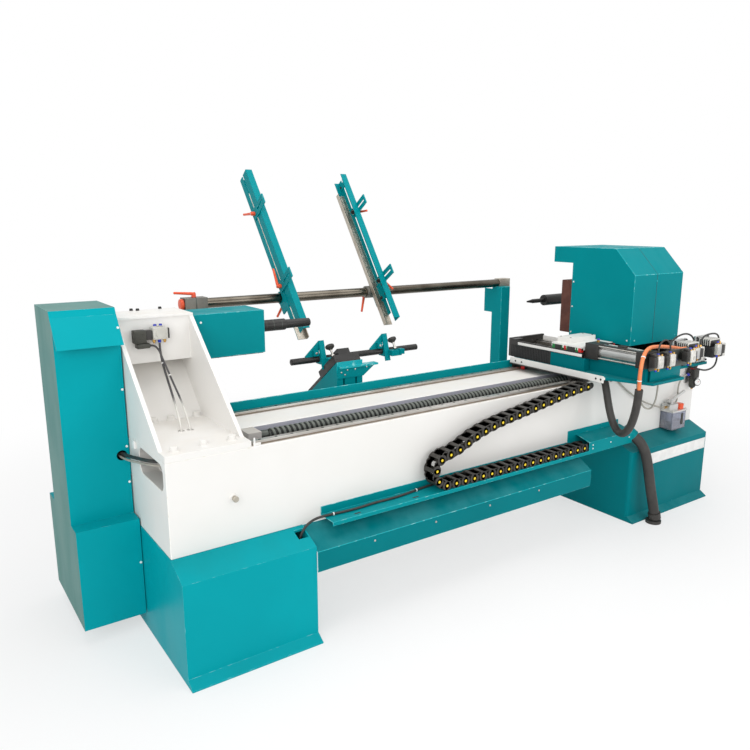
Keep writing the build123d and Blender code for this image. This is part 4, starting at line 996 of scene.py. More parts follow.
def armSpot(hand, along, out, across):
    arm, (y, z) = arms[hand], arms["bar"]
    sine, cosine = math.sin(arm["lean"]), math.cos(arm["lean"])
    return Vector((arm["plane"] + arm["side"] * across, y + along * sine - out * cosine,
                   z + along * cosine + out * sine))


def drawArmFrame(hand, side):
    def pickGuide(spot, normal):  # the bright guide strip
        out, across = armPlace(hand, spot)[1:]
        return 1 if across > 10.5 and 29.5 < out < 53 and (across > 26.2 or out > 33) else 0

    frameMesh = dress(hand + "_arm", [tealDeep, zinc], 1.0, choose=pickGuide).data
    for vertex in frameMesh.vertices:  # the hub's bore stays clear of the bar's facets in a tilt
        place = (vertex.co - zero) / mm
        radial = Vector((0, place.y - arms["bar"][0], place.z - arms["bar"][1]))
        if radial.length < arms["bore"]:
            vertex.co += radial.normalized() * arms["boreRoom"] * mm
    hubNuts, endNuts = arms["hubNuts"], arms["endNuts"]
    top = arms[hand]["top"] - endNuts["below"]
    hubSpots = [armSpot(hand, along, out, hubNuts["across"]) for along, out in hubNuts["spots"]]
    endSpots = [armSpot(hand, top, out, endNuts["across"]) for out in endNuts["outs"]]
    nuts = studs(hubSpots, side, "hubNut", blackened, 6)
    ends = studs(endSpots, side, "endNut", blackened, 6)
    show(hand + "ArmBolts", joinMeshes("armBolts", [nuts, ends]), hand + "_arm_frame")


def drawHubLever(hand):
    turn = arms[hand]["hubTurn"]
    outward = armSpot(hand, 0, 1, 0) - armSpot(hand, 0, 0, 0)
    upward = armSpot(hand, 1, 0, 0) - armSpot(hand, 0, 0, 0)
    inner, outer, root = (armSpot(hand, 0, out, hubLever["across"])
                          for out in (*hubLever["stud"], hubLever["root"]))
    lever = Form()
    lever.rod(inner, outer, hubLever["studRadius"], groundSteel, None, 16)
    reach = Vector((-math.sin(turn), 0, 0)) - upward * math.cos(turn)
    drawLever(lever, root, -outward, reach, hubLever["length"])
    lever.place(hand + "HubLever", hand + "_hub_handle", "orange_plastic", (hand + "_hub_lever",))


def drawFlight(hand, side, height, along, turn):  # stop plate with its clamp screw and lever
    def onLever(spot):
        low, high = flightClamp["plate"]
        return not low <= armPlace(hand, spot)[2] <= high

    def onScrew(across):
        return armSpot(hand, along, flightClamp["out"], across)

    node = hand + "_" + height + "_flight"
    plate = dressMesh(node, tealDeep, 1.2, edge=tealEdge, drop=onLever)
    form = Form()
    angle = math.radians(90 + turn) - arms[hand]["lean"]
    reach = (0, math.cos(angle), math.sin(angle))
    drawLever(form, onScrew(flightClamp["leverRoot"]), -side, reach, flightClamp["leverLength"])
    for start, end, radius, finish, sides, soft in flightClamp["screw"]:
        form.rod(onScrew(start), onScrew(end), radius, finish, None, sides, soft)
    show(node + "Piece", joinMeshes(node, [plate, form.mesh("lever")]), bodyOf[node], (node,))


for hand in ("left", "right"):
    side = Vector((arms[hand]["side"], 0, 0))
    drawArmFrame(hand, side)
    drawHubLever(hand)
    for (height, along), turn in zip(arms["flights"].items(), arms[hand]["turns"]):
        drawFlight(hand, side, height, along, turn)
print("arms drawn")


# loader

loader = {"slope": math.radians(36.6), "corner": (620.0, 833.0), "bar": (770.0, 824.0),
          "barStart": 772, "barSteps": [(0, 11), (2, 14), (681, 14), (683, 11)],
          "jaws": (909.0, 1249.0), "jawBolt": (-19, -18, 30), "padFoot": (53, -42, 8),  # from a jaw's left
          "padTilt": math.radians(36), "padScrew": ((4, 42, 5, 18, 0), (5, 12, 9.5, 6, 0.5)), "padStart": 38,
          "pad": [(0, 8), (3, 10), (10, 19), (12, 20.5), (20, 20.5), (22, 19), (22.4, 14)],
          "screws": [(930, 611.8, 788), (960, 611.8, 796), (1000, 611.8, 796), (1060, 611.8, 800),
                     (948, 611.8, 776)]}


def slopePlace(spot):  # down the slope and square above it
    y, z = spot.y - loader["corner"][0], spot.z - loader["corner"][1]
    sine, cosine = math.sin(loader["slope"]), math.cos(loader["slope"])
    return y * cosine - z * sine, y * sine + z * cosine


def pickBracket(spot, normal):  # black rail on top, below it a band of the lighter edge teal, a painted highlight
    if slopePlace(spot)[1] > 0.5 and spot.y > 623:
        return 1
    return 2 if 805 < spot.z < 815 and spot.y < 640 else 0


def pickSlide(spot, normal):  # black carriage and its lug
    along, above = slopePlace(spot)
    onCarriage = 913 < spot.x < 1042 and above < 40.6 and 9 < along < 171
    return 1 if onCarriage or 999 < spot.x < 1063 else 0


def drawLoader():
    dress("loader_bracket", [tealDeep, blackened, tealEdge], 1.4, choose=pickBracket)
    dress("loader_slide", [tealDeep, blackened], 1.2, choose=pickSlide)
    form = Form()
    y, z = loader["bar"]
    form.lathe((loader["barStart"], y, z), (1, 0, 0), loader["barSteps"], blackened, 32)
    tilt = Vector((0, math.sin(loader["padTilt"]), math.cos(loader["padTilt"])))
    jaws = [Vector((left, y, z)) for left in loader["jaws"]]
    for jaw in jaws:  # rubber pad on a screw with its nut
        foot = jaw + Vector(loader["padFoot"])
        for start, end, radius, sides, soft in loader["padScrew"]:
            form.rod(foot + tilt * start, foot + tilt * end, radius, groundSteel, None, sides, soft)
        form.lathe(foot + tilt * loader["padStart"], tilt, loader["pad"], hoseRubber, 32)
    form.place("loaderBar", "loader", "black_steel", ("loader_bar",))
    heads = [jaw + Vector(loader["jawBolt"]) for jaw in jaws]
    bolts = studs(heads, (0, -1, 0), "jawBolt", groundSteel, 6)
    screws = studs(loader["screws"], (0, -1, 0), "smallScrew", groundSteel)
    show("bracketScrews", screws, "root")
    show("jawBolts", bolts, "loader")


drawLoader()
print("loader drawn")


# carriage

bellows = {"start": (1890.5, 314, 794), "folds": 25, "pitch": 10.2, "tall": 59, "flatness": 0.8}
crossSlide = {
    "blocks": [*((x, x + 7, 130, 565, 824, 829, darkSteel, 0.8) for x in (1942, 2072)),  # ways
               *((x, x + 7, 130, 565, 824, 829, groundSteel, 0.8) for x in (1962, 2052)),
               (1888.4, 1890.4, 129, 518, 827, 840, white, 0.4)],
    "rods": [((x, 578.5, 842), (x, 580.5, 842), 5, blackened, None, 6) for x in (1904, 2111)]}
seals = ((282, 299, greenPlastic), (244, 282, blackPlastic), (238, 244, greenPlastic), (217, 230, redPlastic),
         (209, 215, greenPlastic), (165, 209, blackPlastic), (153, 162, greenPlastic), (132, 148, redPlastic))
toolSlide = {
    "blocks": [(left, right, front, back, 847, 866, finish, 0.8) for front, back, finish in seals
               for left, right in ((1885.5, 1902.5), (2113.5, 2123.5))],
    "rods": [((x, y, 895.8), (x, y, 897.2), 5, blackened, 4, 20) for x in (1932, 2083) for y in (232, 288)]}


def pickBase(spot, normal):  # white plates, black bellows and rail ends, bright ways, teal base in painted shade
    if spot.y > 530.5 and (spot.x < 1941 or spot.y > 564):
        return 1
    if spot.x < 1900.5 and (spot.z > 823.5 or spot.y > 309):
        return 1
    if spot.z > 823.5:
        return 0 if spot.x > 2118 else 2
    if spot.z > 811 and spot.y > 129.5:
        return 2 if 1900 < spot.x < 2115 else 1
    return 3


def pickTool(spot, normal):  # piston rod, seals, table
    if spot.y < 131:
        return 2
    return 1 if spot.z < 862 else 0


def drawCrossSlide():
    dress("cross_base", [white, blackPlastic, groundSteel, tealShade], 0.8, choose=pickBase)
    fold = pleats.grown(seedPoints([bellows["start"]], [(0, 0, 1)]), {
        "Count": bellows["folds"], "Pitch": bellows["pitch"] * mm, "Depth": bellows["flatness"],
        "Tall": bellows["tall"] * mm, "Finish": bellowsBlack})
    fold.set_sharp_from_angle(angle=limits["foldSharp"])
    show("crossBellows", fold, "carriage")
    Form().build(crossSlide).place("crossDetails", "carriage", "white_steel")
    dress("tool_slide", [white, blackPlastic, groundSteel], 1.2, choose=pickTool)
    Form().build(toolSlide).place("slideSeals", "tool_carrier", "tool_steel")


saddle = {"holes": [(1858.9, y, 753) for y in (-4, 22, 460, 500)],
          "blocks": [(1850.5, 1858.5, 60, 530, 736, 741, blackPlastic, 0.8),  # lip, then the rails' wipers
                     *((1884, 1890, y - 10, y + 12, 712, 748, blackPlastic, 0.8) for y in (118, 184, 544)),
                     (1884, 1890, 466, 488, 712, 748, redPlastic, 0.8)]}


def pickSaddle(spot, normal):  # white end plate, ground seat of the sanding unit
    if spot.x < 1867.4 and spot.z > 730:
        return 1
    return 2 if spot.z > 765 and spot.x > 2190 else 0


def drawSaddle():
    dress("saddle", [tealShade, white, groundSteel], 1.2, choose=pickSaddle)
    # dark discs standing for holes: painted shadow
    holes = studs(saddle["holes"], (-1, 0, 0), "saddleHole", blackened, 18)
    show("saddleHoles", holes, "carriage")
    Form().build(saddle).place("railWipers", "carriage", "black_steel")


sanderCylinder = {
    "blocks": [(2133, 2185, 66, 262, 766, 818, aluminium, 2.5),
               *((2132.2, 2134, 66, 262, z - 2.5, z + 2.5, darkSteel, 0.3) for z in (776, 808)),  # dark strips standing for the grooves: painted shade
               *((2130, 2188, y, y + 16, 764, 821, blackPlastic, 2) for y in (50, 262))],  # end caps
    "rods": [*(((x, y, z), (x, y + reach, z), 4, blackened, None, 6)
               for y, reach in ((49.2, 2.8), (278.8, -2.8)) for x in (2138, 2180) for z in (772, 813)),
             ((2131, 270, 800), (2121, 270, 800), 6.5, groundSteel, None, 6),
             ((2122, 270, 800), (2110, 270, 800), 6, bluePlastic, 5, 18)]}
feedCylinder = {  # about its own axis
    "axis": (1947, 0, 857),
    "blocks": [*((-43, 43, front, back, -35, 35, blackPlastic, 2.5)
                 for front, back in ((-178, -135), (58, 126))),
               (-16, 8, -60, -24, 30, 41, blackPlastic, 2)],  # sensor on its rail
    "rods": [*(((x, y, z), (x, y + 3.5, z), 6, blackened, None, 6) for y in (-179.5, 124)
               for x in (-34, 34) for z in (-26, 26)),
             ((0, -136, 0), (0, 85, 0), 32, aluminium, None, 48),
             ((-20, -136, 29.5), (-20, 60, 29.5), 5, blackPlastic, None, 16),
             *(((x, -136, z), (x, 85, z), 4.2, groundSteel, None, 14) for x in (-34, 34) for z in (-26, 26)),
             *(((20, y, 34), (20, y, 44), 7, brass, None, 6) for y in (-156, 105)),
             *(((20, y, 44), (20, y, 50), 6.4, bluePlastic, 5.4, 18) for y in (-156, 105))]}


def drawCylinders():
    form = Form().build(sanderCylinder).build(feedCylinder, feedCylinder["axis"])
    form.place("airCylinders", "carriage", "clear_aluminium", ("air_cylinder",))


hoodDetails = {"side": [(2136.8, 405, 884), (2136.8, 405, 1010), (2136.8, 405, 1130), (2136.8, 80, 884)],
               "front": [(2165, 60.8, 884), (2478, 60.8, 884), (2300, 60.8, 1150)],
               "blocks": [(2301, 2303.4, 60.2, 62, 863, 1180, tealSeam, 0.2)],
               "slope": [(2301, 61, 1180.5), (2301, 173, 1295.5), (2301, 172.4, 1296.1),
                         (2301, 60.4, 1181.1)],
               "seam": (2.4, 0, 0)}


def drawHoodDetails():
    sideScrews = studs(hoodDetails["side"], (-1, 0, 0), "smallScrew", whitePlastic)
    show("hoodSideScrews", sideScrews, "sander")
    form = Form().build(hoodDetails)
    form.prism(hoodDetails["slope"], hoodDetails["seam"], tealSeam)
    form.place("hoodSeam", "sander", "teal_paint")
    # the front screws take the lighter edge teal, a painted highlight on their heads
    frontScrews = studs(hoodDetails["front"], (0, -1, 0), "smallScrew", tealEdge)
    show("hoodFrontScrews", frontScrews, "sander")
    pad = dressMesh("sanding_pad", brownCloth, 2.0, segments=3)
    show("sandingPad", pad, "sander", ("sanding_pad",))


drawCrossSlide()
drawSaddle()
drawCylinders()
drawHoodDetails()
print("carriage drawn")


# valves and feed motors on the carriage

valveBank = {"lefts": (1935, 2018, 2166),
             "blocks": [(1930, 2205, -186, -180, 812, 886, darkSteel, 1),
                        (1945, 2155, -186, -180, 764, 812, tealShade, 1)]}
oneValve = {  # from its left side
    "blocks": [(0, 36, -224, -186, 828, 878, valveSilver, 2),  # body and its cover
               (3, 33, -226, -223, 833, 864, valveSilver, 1.2),
               (-22, 0, -220, -192, 832, 876, blackPlastic, 2.5),  # coil with ribs and plug
               *((-20, -2, -221.2, -219, z, z + 4, coilGrey, 0.4) for z in (838, 846, 854, 862)),
               (-16, 8, -216, -194, 876, 887, blackPlastic, 2),
               (36, 58, -216, -192, 834, 872, blackPlastic, 2.5)],  # end piece
    "rods": [((18, -225, 848), (18, -227.5, 848), 8, greyPlastic, 7, 20),
             ((47, -204, 872), (47, -204, 882), 6, brass, 5, 6),
             ((58, -204, 846), (66, -204, 846), 5, brass, None, 6),
             ((66, -204, 846), (72, -204, 846), 4.6, bluePlastic, 4, 16),
             ((47, -204, 835), (47, -204, 822), 5, blackPlastic, 4.4, 16),
             ((18, -206, 877), (18, -206, 883), 7.5, brass, None, 6),  # fitting on top
             ((18, -206, 883), (18, -206, 889), 6.2, bluePlastic, 5.4, 18),
             *(((x, -206, 829), (x, -206, 820), 5.4, brass, None, 6) for x in (9, 27)),  # and below
             ((9, -206, 820), (9, -206, 812), 4.8, bluePlastic, 4.2, 16),
             ((27, -206, 820), (27, -206, 812), 4.8, brass, 4.2, 16)]}


def drawValveBank():
    form = Form().build(valveBank)
    for left in valveBank["lefts"]:
        form.build(oneValve, (left, 0, 0))
    form.place("valveBank", "carriage", "clear_aluminium", ("valve_bank",))


feedMotors = {
    "centres": (2335, 2510),
    "rods": [((2292.5, -122, 864), (2284, -122, 864), 10.5, blackPlastic, 9.2, 20),  # where the cords end
             *(((x, y, 861.5), (x, y, 869), 7, brass, 6, 6)
               for x, y in ((2394, -95), (2394, -125), (2569, -111))),
             ((2569, -111, 800.5), (2569, -111, 792), 7, blackPlastic, 5.6, 16)]}
oneMotor = {  # from its middle
    "blocks": [(-43, 43, -148, -62, 802, 852, motorBlack, 6),  # body, head and fins
               (-42, 42, -130, -66, 850, 884, motorBlack, 8),
               *((-43, 43, y, y + 5, 856, 886, valveSilver, 1.2) for y in range(-128, -77, 10)),
               (-50, 50, -62, -50, 764, 893, aluminium, 2),  # flange
               (-36, -4, -165, -148, 818, 868, valveSilver, 2),  # valve and plug on its front
               (-33, -7, -166.5, -164, 824, 856, aluminium, 1),
               (-2, 26, -164, -148, 822, 862, blackPlastic, 2.5),
               (42, 75, -140, -80, 800, 862, valveSilver, 4),  # terminal box
               (74, 77, -132, -88, 808, 854, greyPlastic, 1)],
    "lathes": [((0, -147, 843), (0, -1, 0), [(0, 30), (3, 30), (6, 26), (7, 18)], motorBlack, 32)],
    "rods": [*(((x, -157, 867), (x, -157, 874), 5.2, brass, None, 6) for x in (-28, -12)),
             ((-28, -157, 874), (-28, -157, 881), 4.6, bluePlastic, 4, 16),
             ((-12, -157, 874), (-12, -157, 881), 4.6, brass, 4, 16),
             ((-28, -157, 819), (-28, -157, 808), 5.2, bluePlastic, 4.6, 6),
             ((-12, -157, 819), (-12, -157, 808), 5.2, brass, 4.6, 6),
             *(((x, -64, z), (x, -68, z), 5, blackened, None, 6) for x in (-44, 44) for z in (774, 886))]}


def drawFeedMotors():
    form = Form().build(feedMotors)
    for centre in feedMotors["centres"]:
        form.build(oneMotor, (centre, 0, 0))
    form.place("feedMotors", "carriage", "motor_paint", ("feed_motors",))


airUnit = {  # filter with its bowl, gauge and fittings
    "blocks": [(2710, 2780, 126, 132, 600, 700, aluminium, 1),
               (2722, 2768, 84, 126, 628, 676, blackPlastic, 3),
               (2725, 2765, 82.5, 85, 632, 672, coilGrey, 1)],
    "lathes": [((2745, 105, 628), (0, 0, -1), [(0, 19), (3, 20), (6, 18.5), (40, 17.5), (48, 14), (54, 6)],
                coilGrey, 28),
               ((2745, 105, 574), (0, 0, -1), [(0, 6), (2, 5), (5, 5)], brass, 12),
               ((2745, 105, 676), (0, 0, 1), [(0, 16), (4, 16.5), (6, 17.4), (10, 17.4)], redPlastic, 28)],
    "rods": [((2722, 105, 650), (2704, 105, 650), 9, groundSteel, None, 6),
             ((2704, 105, 650), (2690, 105, 650), 7.5, bluePlastic, 6.6, 20),
             ((2768, 105, 650), (2780, 105, 650), 9, groundSteel, None, 6)]}
gauge = {"place": (2751, 90, 608), "aim": (-0.4, -0.9, 0.15), "needle": (8, -3, 6),
         "case": [(0, 12), (3, 19), (14, 19), (16, 18), (17, 16)], "dial": [(0, 15.4), (0.6, 15.2)],
         "dialOut": 16.6, "needleOut": 17.6, "needleRadii": (0.8, 0.5)}
regulatorKnob = {
    "axis": (2745, 105), "ribs": 20, "ribCircle": 17.9, "ribRadius": 1.3, "ribHeights": (690, 709),
    "lathes": [((2745, 105, 686.6), (0, 0, 1), [(0, 17), (1, 18), (24, 18), (27, 16.5), (29, 12)],
                blackPlastic, 32),
               ((2745, 105, 715), (0, 0, 1), [(0, 9), (0.8, 8)], coilGrey, 24)]}


def drawAirUnit():
    form = Form().build(airUnit)
    place, aim = Vector(gauge["place"]), Vector(gauge["aim"]).normalized()
    form.lathe(place, aim, gauge["case"], blackPlastic, 32)
    form.lathe(place + aim * gauge["dialOut"], aim, gauge["dial"], whitePlastic, 32)
    needle = place + aim * gauge["needleOut"]
    thick, thin = gauge["needleRadii"]
    form.rod(needle, needle + Vector(gauge["needle"]), thick, redPlastic, thin, 8)
    form.place("airUnit", "root", "valve_plastic", ("air_unit",))
    knob = Form().build(regulatorKnob)
    low, high = regulatorKnob["ribHeights"]
    for index in range(regulatorKnob["ribs"]):
        angle = 2 * math.pi * index / regulatorKnob["ribs"]
        x = regulatorKnob["axis"][0] + regulatorKnob["ribCircle"] * math.cos(angle)
        y = regulatorKnob["axis"][1] + regulatorKnob["ribCircle"] * math.sin(angle)
        knob.rod((x, y, low), (x, y, high), regulatorKnob["ribRadius"], blackPlastic, None, 8)
    knob.place("regulatorKnob", "knob", "chain_plastic", ("regulator_knob",))


oilPump = {
    "blocks": [(2602, 2620, 60.4, 62.2, 412, 470, blackPlastic, 0.8),  # sight window
               (2604, 2618, 59.8, 60.8, 416, 466, coilGrey, 0.4)],
    "lathes": [((2620, 84, 505), (0, 0, 1), [(0, 17.4), (1, 18), (9, 18), (11, 16), (12, 9)],
                orangePlastic, 28)],
    "rods": [*(((x, y, 490), (x, y, 493), 4.4, groundSteel, 3.6, 16)
               for x in (2533, 2640) for y in (64, 126)),
             ((2520, 98, 507), (2508, 98, 507), 7, brass, None, 6),
             ((2592, 112, 506), (2601, 112, 506), 6.5, brass, None, 6)]}
pumpOil = {"blocks": [(2534.6, 2637.4, 66.6, 127.4, 396.6, 432, oilFinish, 0)]}
blankLabel = {"blocks": [(2330, 2795, 33.2, 34.4, 262, 318, whitePlastic, 0.2)]}  # on the right pedestal


def pickPump(spot, normal):  # clear tank, metal head and inner tube, orange cap
    if spot.z > 482.2:
        return 2 if spot.x > 2602 and spot.z > 490.2 else 1
    return 1 if Vector((spot.x - 2556, spot.y - 98)).length < 12.6 else 0


def drawOilPump():
    dress("oil_pump", [tankPlastic, aluminium, orangePlastic], 1.0, choose=pickPump)
    Form().build(oilPump).place("pumpDetails", "root", "tank_plastic")
    Form().build(pumpOil).place("pumpOil", "root", "tank_plastic")
    lever = dressMesh("pump_lever", aluminium, 2.0, segments=3)
    show("pumpLever", lever, "pump_handle", ("pump_lever",))


drawValveBank()
drawFeedMotors()
drawAirUnit()
drawOilPump()
Form().build(blankLabel).place("blankLabel", "root", "white_paint")
print("supply drawn")


# cords: the routes of the part, in machine millimetres

cords = {
    "floorConduit": {"diameter": 48, "length": 399, "body": "root", "node": "floor_conduit",
        "finish": hoseRubber, "stiffness": "stiff", "lay": "hanging", "points": [
            (2209, 51.5, 422.5), (2223, 34, 404), (2234, 18, 378), (2242, 6, 347), (2247, -3, 312),
            (2251, -10, 273), (2255, -17, 230), (2260, -23.5, 184), (2267, -30, 137), (2276, -36, 92),
            (2284, -40, 50)]},
    "carriageConduit": {"diameter": 33, "length": 542, "body": "carriage", "node": "carriage_hoses",
        "finish": hoseRubber, "stiffness": "stiff", "lay": "hanging", "points": [
            (1962, 52, 722), (1960, 40, 690), (1956, 24, 640), (1950, 4, 590), (1942, -22, 548),
            (1929, -56, 522), (1911, -96, 522), (1894, -132, 548), (1880, -160, 592), (1868, -180, 644),
            (1858, -194, 700), (1852, -200, 748)]},
    "orangeSleeve": {"diameter": 16, "length": 574, "body": "carriage", "node": "carriage_hoses",
        "finish": orangeSleeve, "stiffness": "medium", "lay": "loose", "points": [
            (1852, -200, 748), (1849, -201, 772), (1848, -201, 800), (1852, -200, 834), (1863, -196, 867),
            (1884, -189, 891), (1914, -180, 905), (1952, -170, 909), (1998, -161, 906), (2048, -152, 900),
            (2102, -144, 892), (2158, -136, 883), (2212, -128, 873), (2254, -122, 864), (2292, -122, 864)]},
    "hangingLoop": {"diameter": 8, "length": 447, "body": "carriage", "node": "carriage_hoses",
        "finish": greyTube, "stiffness": "limp", "lay": "hanging", "points": [
            (2150, 20, 752), (2150, 20, 716), (2153, 18, 676), (2162, 14, 636), (2178, 10, 601),
            (2202, 6, 574), (2231, 3, 562), (2259, 3, 566), (2281, 4, 588), (2293, 6, 622), (2299, 8, 664),
            (2300, 10, 708), (2300, 10, 752)]},
    "valveArc": {"diameter": 7, "length": 151, "body": "carriage", "node": "carriage_hoses",
        "finish": blackPlastic, "stiffness": "stiff", "lay": "loose", "points": [
            (1953, -206, 889), (1953, -206, 910), (1964, -206, 929.4), (1983.4, -206, 940.5),
            (2005.6, -206, 940.5), (2025, -206, 929.4), (2036, -206, 910), (2036, -206, 889)]},
    "leftMotorArc": {"diameter": 8, "length": 329, "body": "carriage", "node": "carriage_hoses",
        "finish": blackPlastic, "stiffness": "stiff", "lay": "loose", "points": [
            (2222, -64, 764), (2222, -64, 800), (2223, -66, 836), (2228, -72, 868), (2242, -80, 896),
            (2266, -88, 914), (2298, -93, 923), (2332, -95, 922), (2362, -95, 912), (2384, -95, 896),
            (2394, -95, 878), (2394, -95, 862)]},
    "rightMotorArc": {"diameter": 8, "length": 231, "body": "carriage", "node": "carriage_hoses",
        "finish": blackPlastic, "stiffness": "stiff", "lay": "loose", "points": [
            (2394, -125, 862), (2394, -125, 877), (2401, -125, 892), (2415, -124, 903), (2438, -122, 909),
            (2466, -120, 911), (2498, -118, 911), (2526, -116, 908), (2549, -114, 900), (2562, -112.5, 889),
            (2569, -111, 876), (2569, -111, 862)]},
    "motorCable": {"diameter": 8, "length": 235, "body": "carriage", "node": "carriage_hoses",
        "finish": blackPlastic, "stiffness": "stiff", "lay": "loose", "points": [
            (2569, -111, 800), (2569, -111, 784), (2564, -112, 768), (2551, -114, 755), (2530, -117, 747),
            (2503, -120, 743), (2475, -122, 742), (2448, -122, 744), (2426, -117, 749), (2411, -106, 754),
            (2405, -90, 757), (2405, -70, 757)]},
    "valveTube": {"diameter": 8, "length": 379, "body": "root", "node": "head_tubes",
        "finish": twoToneTube, "stiffness": "medium", "lay": "loose", "points": [
            (153, 584, 998), (153, 584, 975), (154, 578, 945), (156, 562, 908), (158, 534, 868),
            (158, 496, 826), (154, 452, 790), (147, 408, 762), (141, 378, 742), (140, 368, 708)]},
    "valveLead": {"diameter": 7, "length": 393, "body": "root", "node": "head_tubes",
        "finish": twoToneTube, "stiffness": "limp", "lay": "loose", "points": [
            (114, 584, 992), (128, 584, 992), (141, 582, 984), (149, 577, 968), (155, 566, 942),
            (162, 546, 908), (169, 518, 868), (175, 482, 828), (176, 440, 794), (173, 398, 762),
            (170, 370, 736), (170, 362, 708)]},
    "towerCable": {"diameter": 12, "length": 343, "body": "root", "node": "head_tubes",
        "finish": blackPlastic, "stiffness": "medium", "lay": "loose", "points": [
            (-30, 556, 641), (-28, 531, 640), (-25, 506, 640), (-21, 478, 641.5), (-16.5, 446, 645),
            (-12, 411, 650), (-8, 374, 656.5), (-4, 337, 662.5), (2, 303, 667.5), (12, 273, 672),
            (26, 248, 675), (44, 230, 676)]},
    "towerLead": {"diameter": 8, "length": 341, "body": "root", "node": "head_tubes",
        "finish": greyTube, "stiffness": "limp", "lay": "loose", "points": [
            (-33, 556, 628), (-31, 531, 627), (-28, 506, 627), (-24.5, 478, 628.5), (-20, 446, 632),
            (-15.5, 411, 637), (-11, 374, 643.5), (-6.5, 337, 649.5), (0, 303, 654.5), (10, 273, 658.5),
            (24, 249, 661), (42, 233, 662)]},
    "trayCable": {"diameter": 9, "length": 1475, "body": "root", "node": "bed_lines",
        "finish": blackPlastic, "stiffness": "medium", "lay": "loose", "points": [
            (1880, 123, 416), (1780, 124, 416), (1680, 122.5, 416), (1580, 124, 416), (1480, 122.5, 416),
            (1380, 124, 416), (1280, 122.5, 416), (1180, 124, 416), (1080, 122.5, 416), (990, 118, 416),
            (910, 104, 416), (830, 96, 416), (750, 100, 416), (670, 92, 416), (600, 96, 416), (545, 100, 417),
            (505, 103, 415), (472, 104, 402), (449, 104, 379), (437, 104, 350)]},
    "airLine": {"diameter": 8, "length": 205, "body": "root", "node": "bed_lines",
        "finish": greyTube, "stiffness": "limp", "lay": "loose", "points": [
            (2690, 105, 650), (2672, 105, 650), (2656, 106.5, 641), (2645, 109.5, 626), (2638, 112, 606),
            (2635.5, 112.5, 582), (2636, 112.5, 556), (2635.5, 112, 531), (2626.5, 112, 515.3),
            (2610.5, 112, 506), (2592, 112, 506)]},
    "oilLine": {"diameter": 8, "length": 458, "body": "root", "node": "bed_lines",
        "finish": greyTube, "stiffness": "medium", "lay": "hanging", "points": [
            (2112, 126, 697), (2126, 126, 697), (2146, 125, 689), (2172, 124, 670), (2206, 122, 643),
            (2252, 119, 611), (2306, 115, 579), (2362, 110, 552), (2418, 105, 531), (2464, 101, 516),
            (2498, 98, 507), (2520, 98, 507)]},
}


def layCord(name, cord):
    curve = bpy.data.curves.new(name, "CURVE")
    curve.dimensions = "3D"
    curve.bevel_depth = cord["diameter"] / 2 * mm
    curve.bevel_resolution = 5
    curve.use_fill_caps = True
    spline = curve.splines.new("NURBS")
    spline.points.add(len(cord["points"]) - 1)
    for point, place in zip(spline.points, cord["points"]):
        point.co = (*at(*place), 1)
    spline.order_u = 3
    spline.use_endpoint_u = True
    spline.resolution_u = 8
    curve.materials.append(cord["finish"])
    piece = bpy.data.objects.new(name, curve)
    scene.collection.objects.link(piece)
    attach(piece, cord["body"])
    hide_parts(cord["node"])
    cord["length"] * mm
    cord["diameter"] * mm


for name, cord in cords.items():
    layCord(name, cord)


ties = {"root": (("valveTube", 2), ("valveLead", 5), ("trayCable", 9), ("trayCable", 14)),
        "carriage": (("orangeSleeve", 1), ("orangeSleeve", 4))}
tieBand = {"half": 2.4, "steps": ((0, 0), (0.6, 1.3), (4.2, 1.3), (4.8, 0))}  # along the cord and above it


def drawTies():  # white cable ties, each on the middle of one leg of its cord
    for body, row in ties.items():
        form = Form()
        for name, leg in row:
            first, second = (Vector(spot) for spot in cords[name]["points"][leg:leg + 2])
            aim = (second - first).normalized()
            radius = cords[name]["diameter"] / 2
            steps = [(far, radius + proud) for far, proud in tieBand["steps"]]
            form.lathe((first + second) / 2 - aim * tieBand["half"], aim, steps, whitePlastic, 20)
        form.place(body + "Ties", body, "chain_plastic")


drawTies()
print("cords laid:", len(cords))


# stage, light and camera

studio = {"eye": (-625.4, -1896.7, 1428.8), "forward": (0.55422, 0.80397, -0.21559), "lens": 33.95,
          "sensor": 36, "ambient": 0.5, "floorHalf": 14.0, "floorDrop": 0.0005, "shadowReach": (1.4, 3.2),
          "shadowGlow": 0.6}
lamps = {
    "keyLight": {"place": (-3400, -3500, 3200), "aim": (700, 300, 550), "size": (5.5, 4.0), "watts": 178},
    "fillLight": {"place": (2300, -3000, 1700), "aim": (1800, 200, 600), "size": (3.0, 2.0), "watts": 34},
    "topLight": {"place": (1400, 300, 3800), "aim": (1400, 400, 0), "size": (4.5, 3.0), "watts": 70}}


def areaLight(name, row):
    lamp = bpy.data.lights.new(name, "AREA")
    lamp.shape = "RECTANGLE"
    lamp.size, lamp.size_y = row["size"]
    lamp.energy = row["watts"]
    obj = bpy.data.objects.new(name, lamp)
    obj.location = at(*row["place"])
    obj.rotation_euler = (at(*row["aim"]) - obj.location).to_track_quat("-Z", "Y").to_euler()
    scene.collection.objects.link(obj)


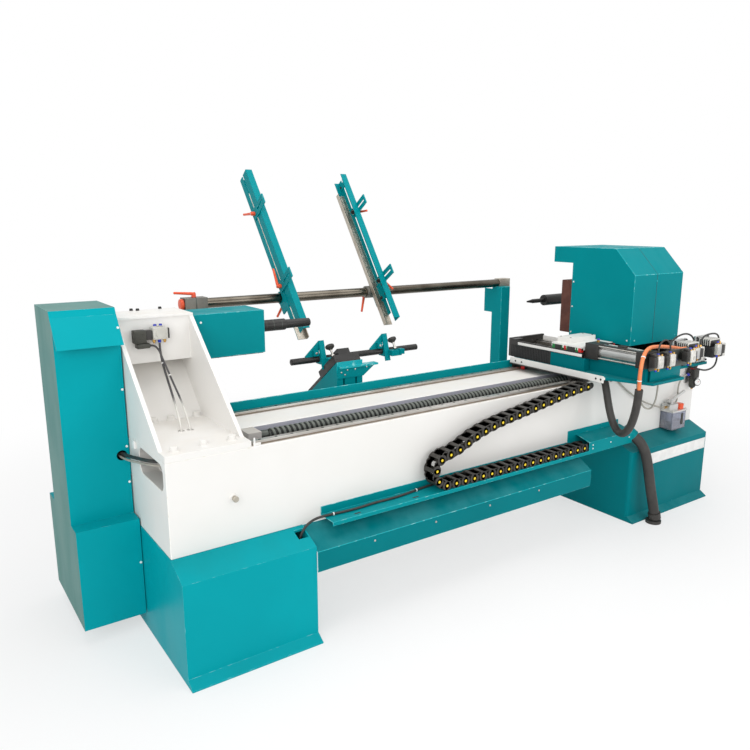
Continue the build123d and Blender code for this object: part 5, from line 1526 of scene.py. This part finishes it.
def whiteForViewer(tree):  # 1 for rays that see the background, 0 for rays that light the object
    ways = [tree.node("ShaderNodeLightPath", {}, {}, out=name)
            for name in ("Is Camera Ray", "Is Glossy Ray", "Is Transmission Ray")]
    total = ways[0] + ways[1] + ways[2]
    return total.calc("MINIMUM", total, 1.0)


def buildStage():
    ground = bpy.data.meshes.new("ground")
    half = studio["floorHalf"]
    corners = [(-half, -half, 0), (half, -half, 0), (half, half, 0), (-half, half, 0)]
    ground.from_pydata(corners, [], [(0, 1, 2, 3)])
    floor = bpy.data.objects.new("ground", ground)
    floor.location = (0, 0, zero.z - studio["floorDrop"])
    scene.collection.objects.link(floor)
    pale = Finish("paleFloor", Roughness=0.6, Base_Color=(0.9, 0.9, 0.9, 1), Specular_IOR_Level=0.1)
    away = pale.node("ShaderNodeVectorMath", {"operation": "LENGTH"}, {0: pale.place}, out="Value")
    glow = studio["shadowGlow"]
    mask = (pale.step(away, *studio["shadowReach"]) * (1 - glow) + glow) * whiteForViewer(pale)
    lit = pale.node("ShaderNodeEmission", {}, {"Color": (1, 1, 1, 1), "Strength": 1.0})
    both = pale.node("ShaderNodeMixShader", {}, {0: mask, 1: Wire(pale, pale.shader.outputs[0]), 2: lit})
    pale.tree.links.new(both.socket, pale.tree.nodes["Material Output"].inputs["Surface"])
    ground.materials.append(pale.material)
    world = bpy.data.worlds.new("studio")
    world.use_nodes = True
    scene.world = world
    sky = Tree(world.node_tree)
    seen = whiteForViewer(sky)
    strength = seen * (1 - studio["ambient"]) + studio["ambient"]
    dome = sky.node("ShaderNodeBackground", {}, {"Color": (1, 1, 1, 1), "Strength": strength})
    world.node_tree.links.new(dome.socket, world.node_tree.nodes["World Output"].inputs["Surface"])


def buildCamera():
    lens = bpy.data.cameras.new("photoCamera")
    lens.sensor_fit = "HORIZONTAL"
    lens.sensor_width = studio["sensor"]
    lens.lens = studio["lens"]
    lens.clip_end = 60
    eye = bpy.data.objects.new("photoCamera", lens)
    eye.location = at(*studio["eye"])
    eye.rotation_euler = Vector(studio["forward"]).to_track_quat("-Z", "Y").to_euler()
    scene.collection.objects.link(eye)
    scene.camera = eye


scene.view_settings.view_transform = "Standard"
for name, row in lamps.items():
    areaLight(name, row)
buildStage()
buildCamera()
print("stage set")
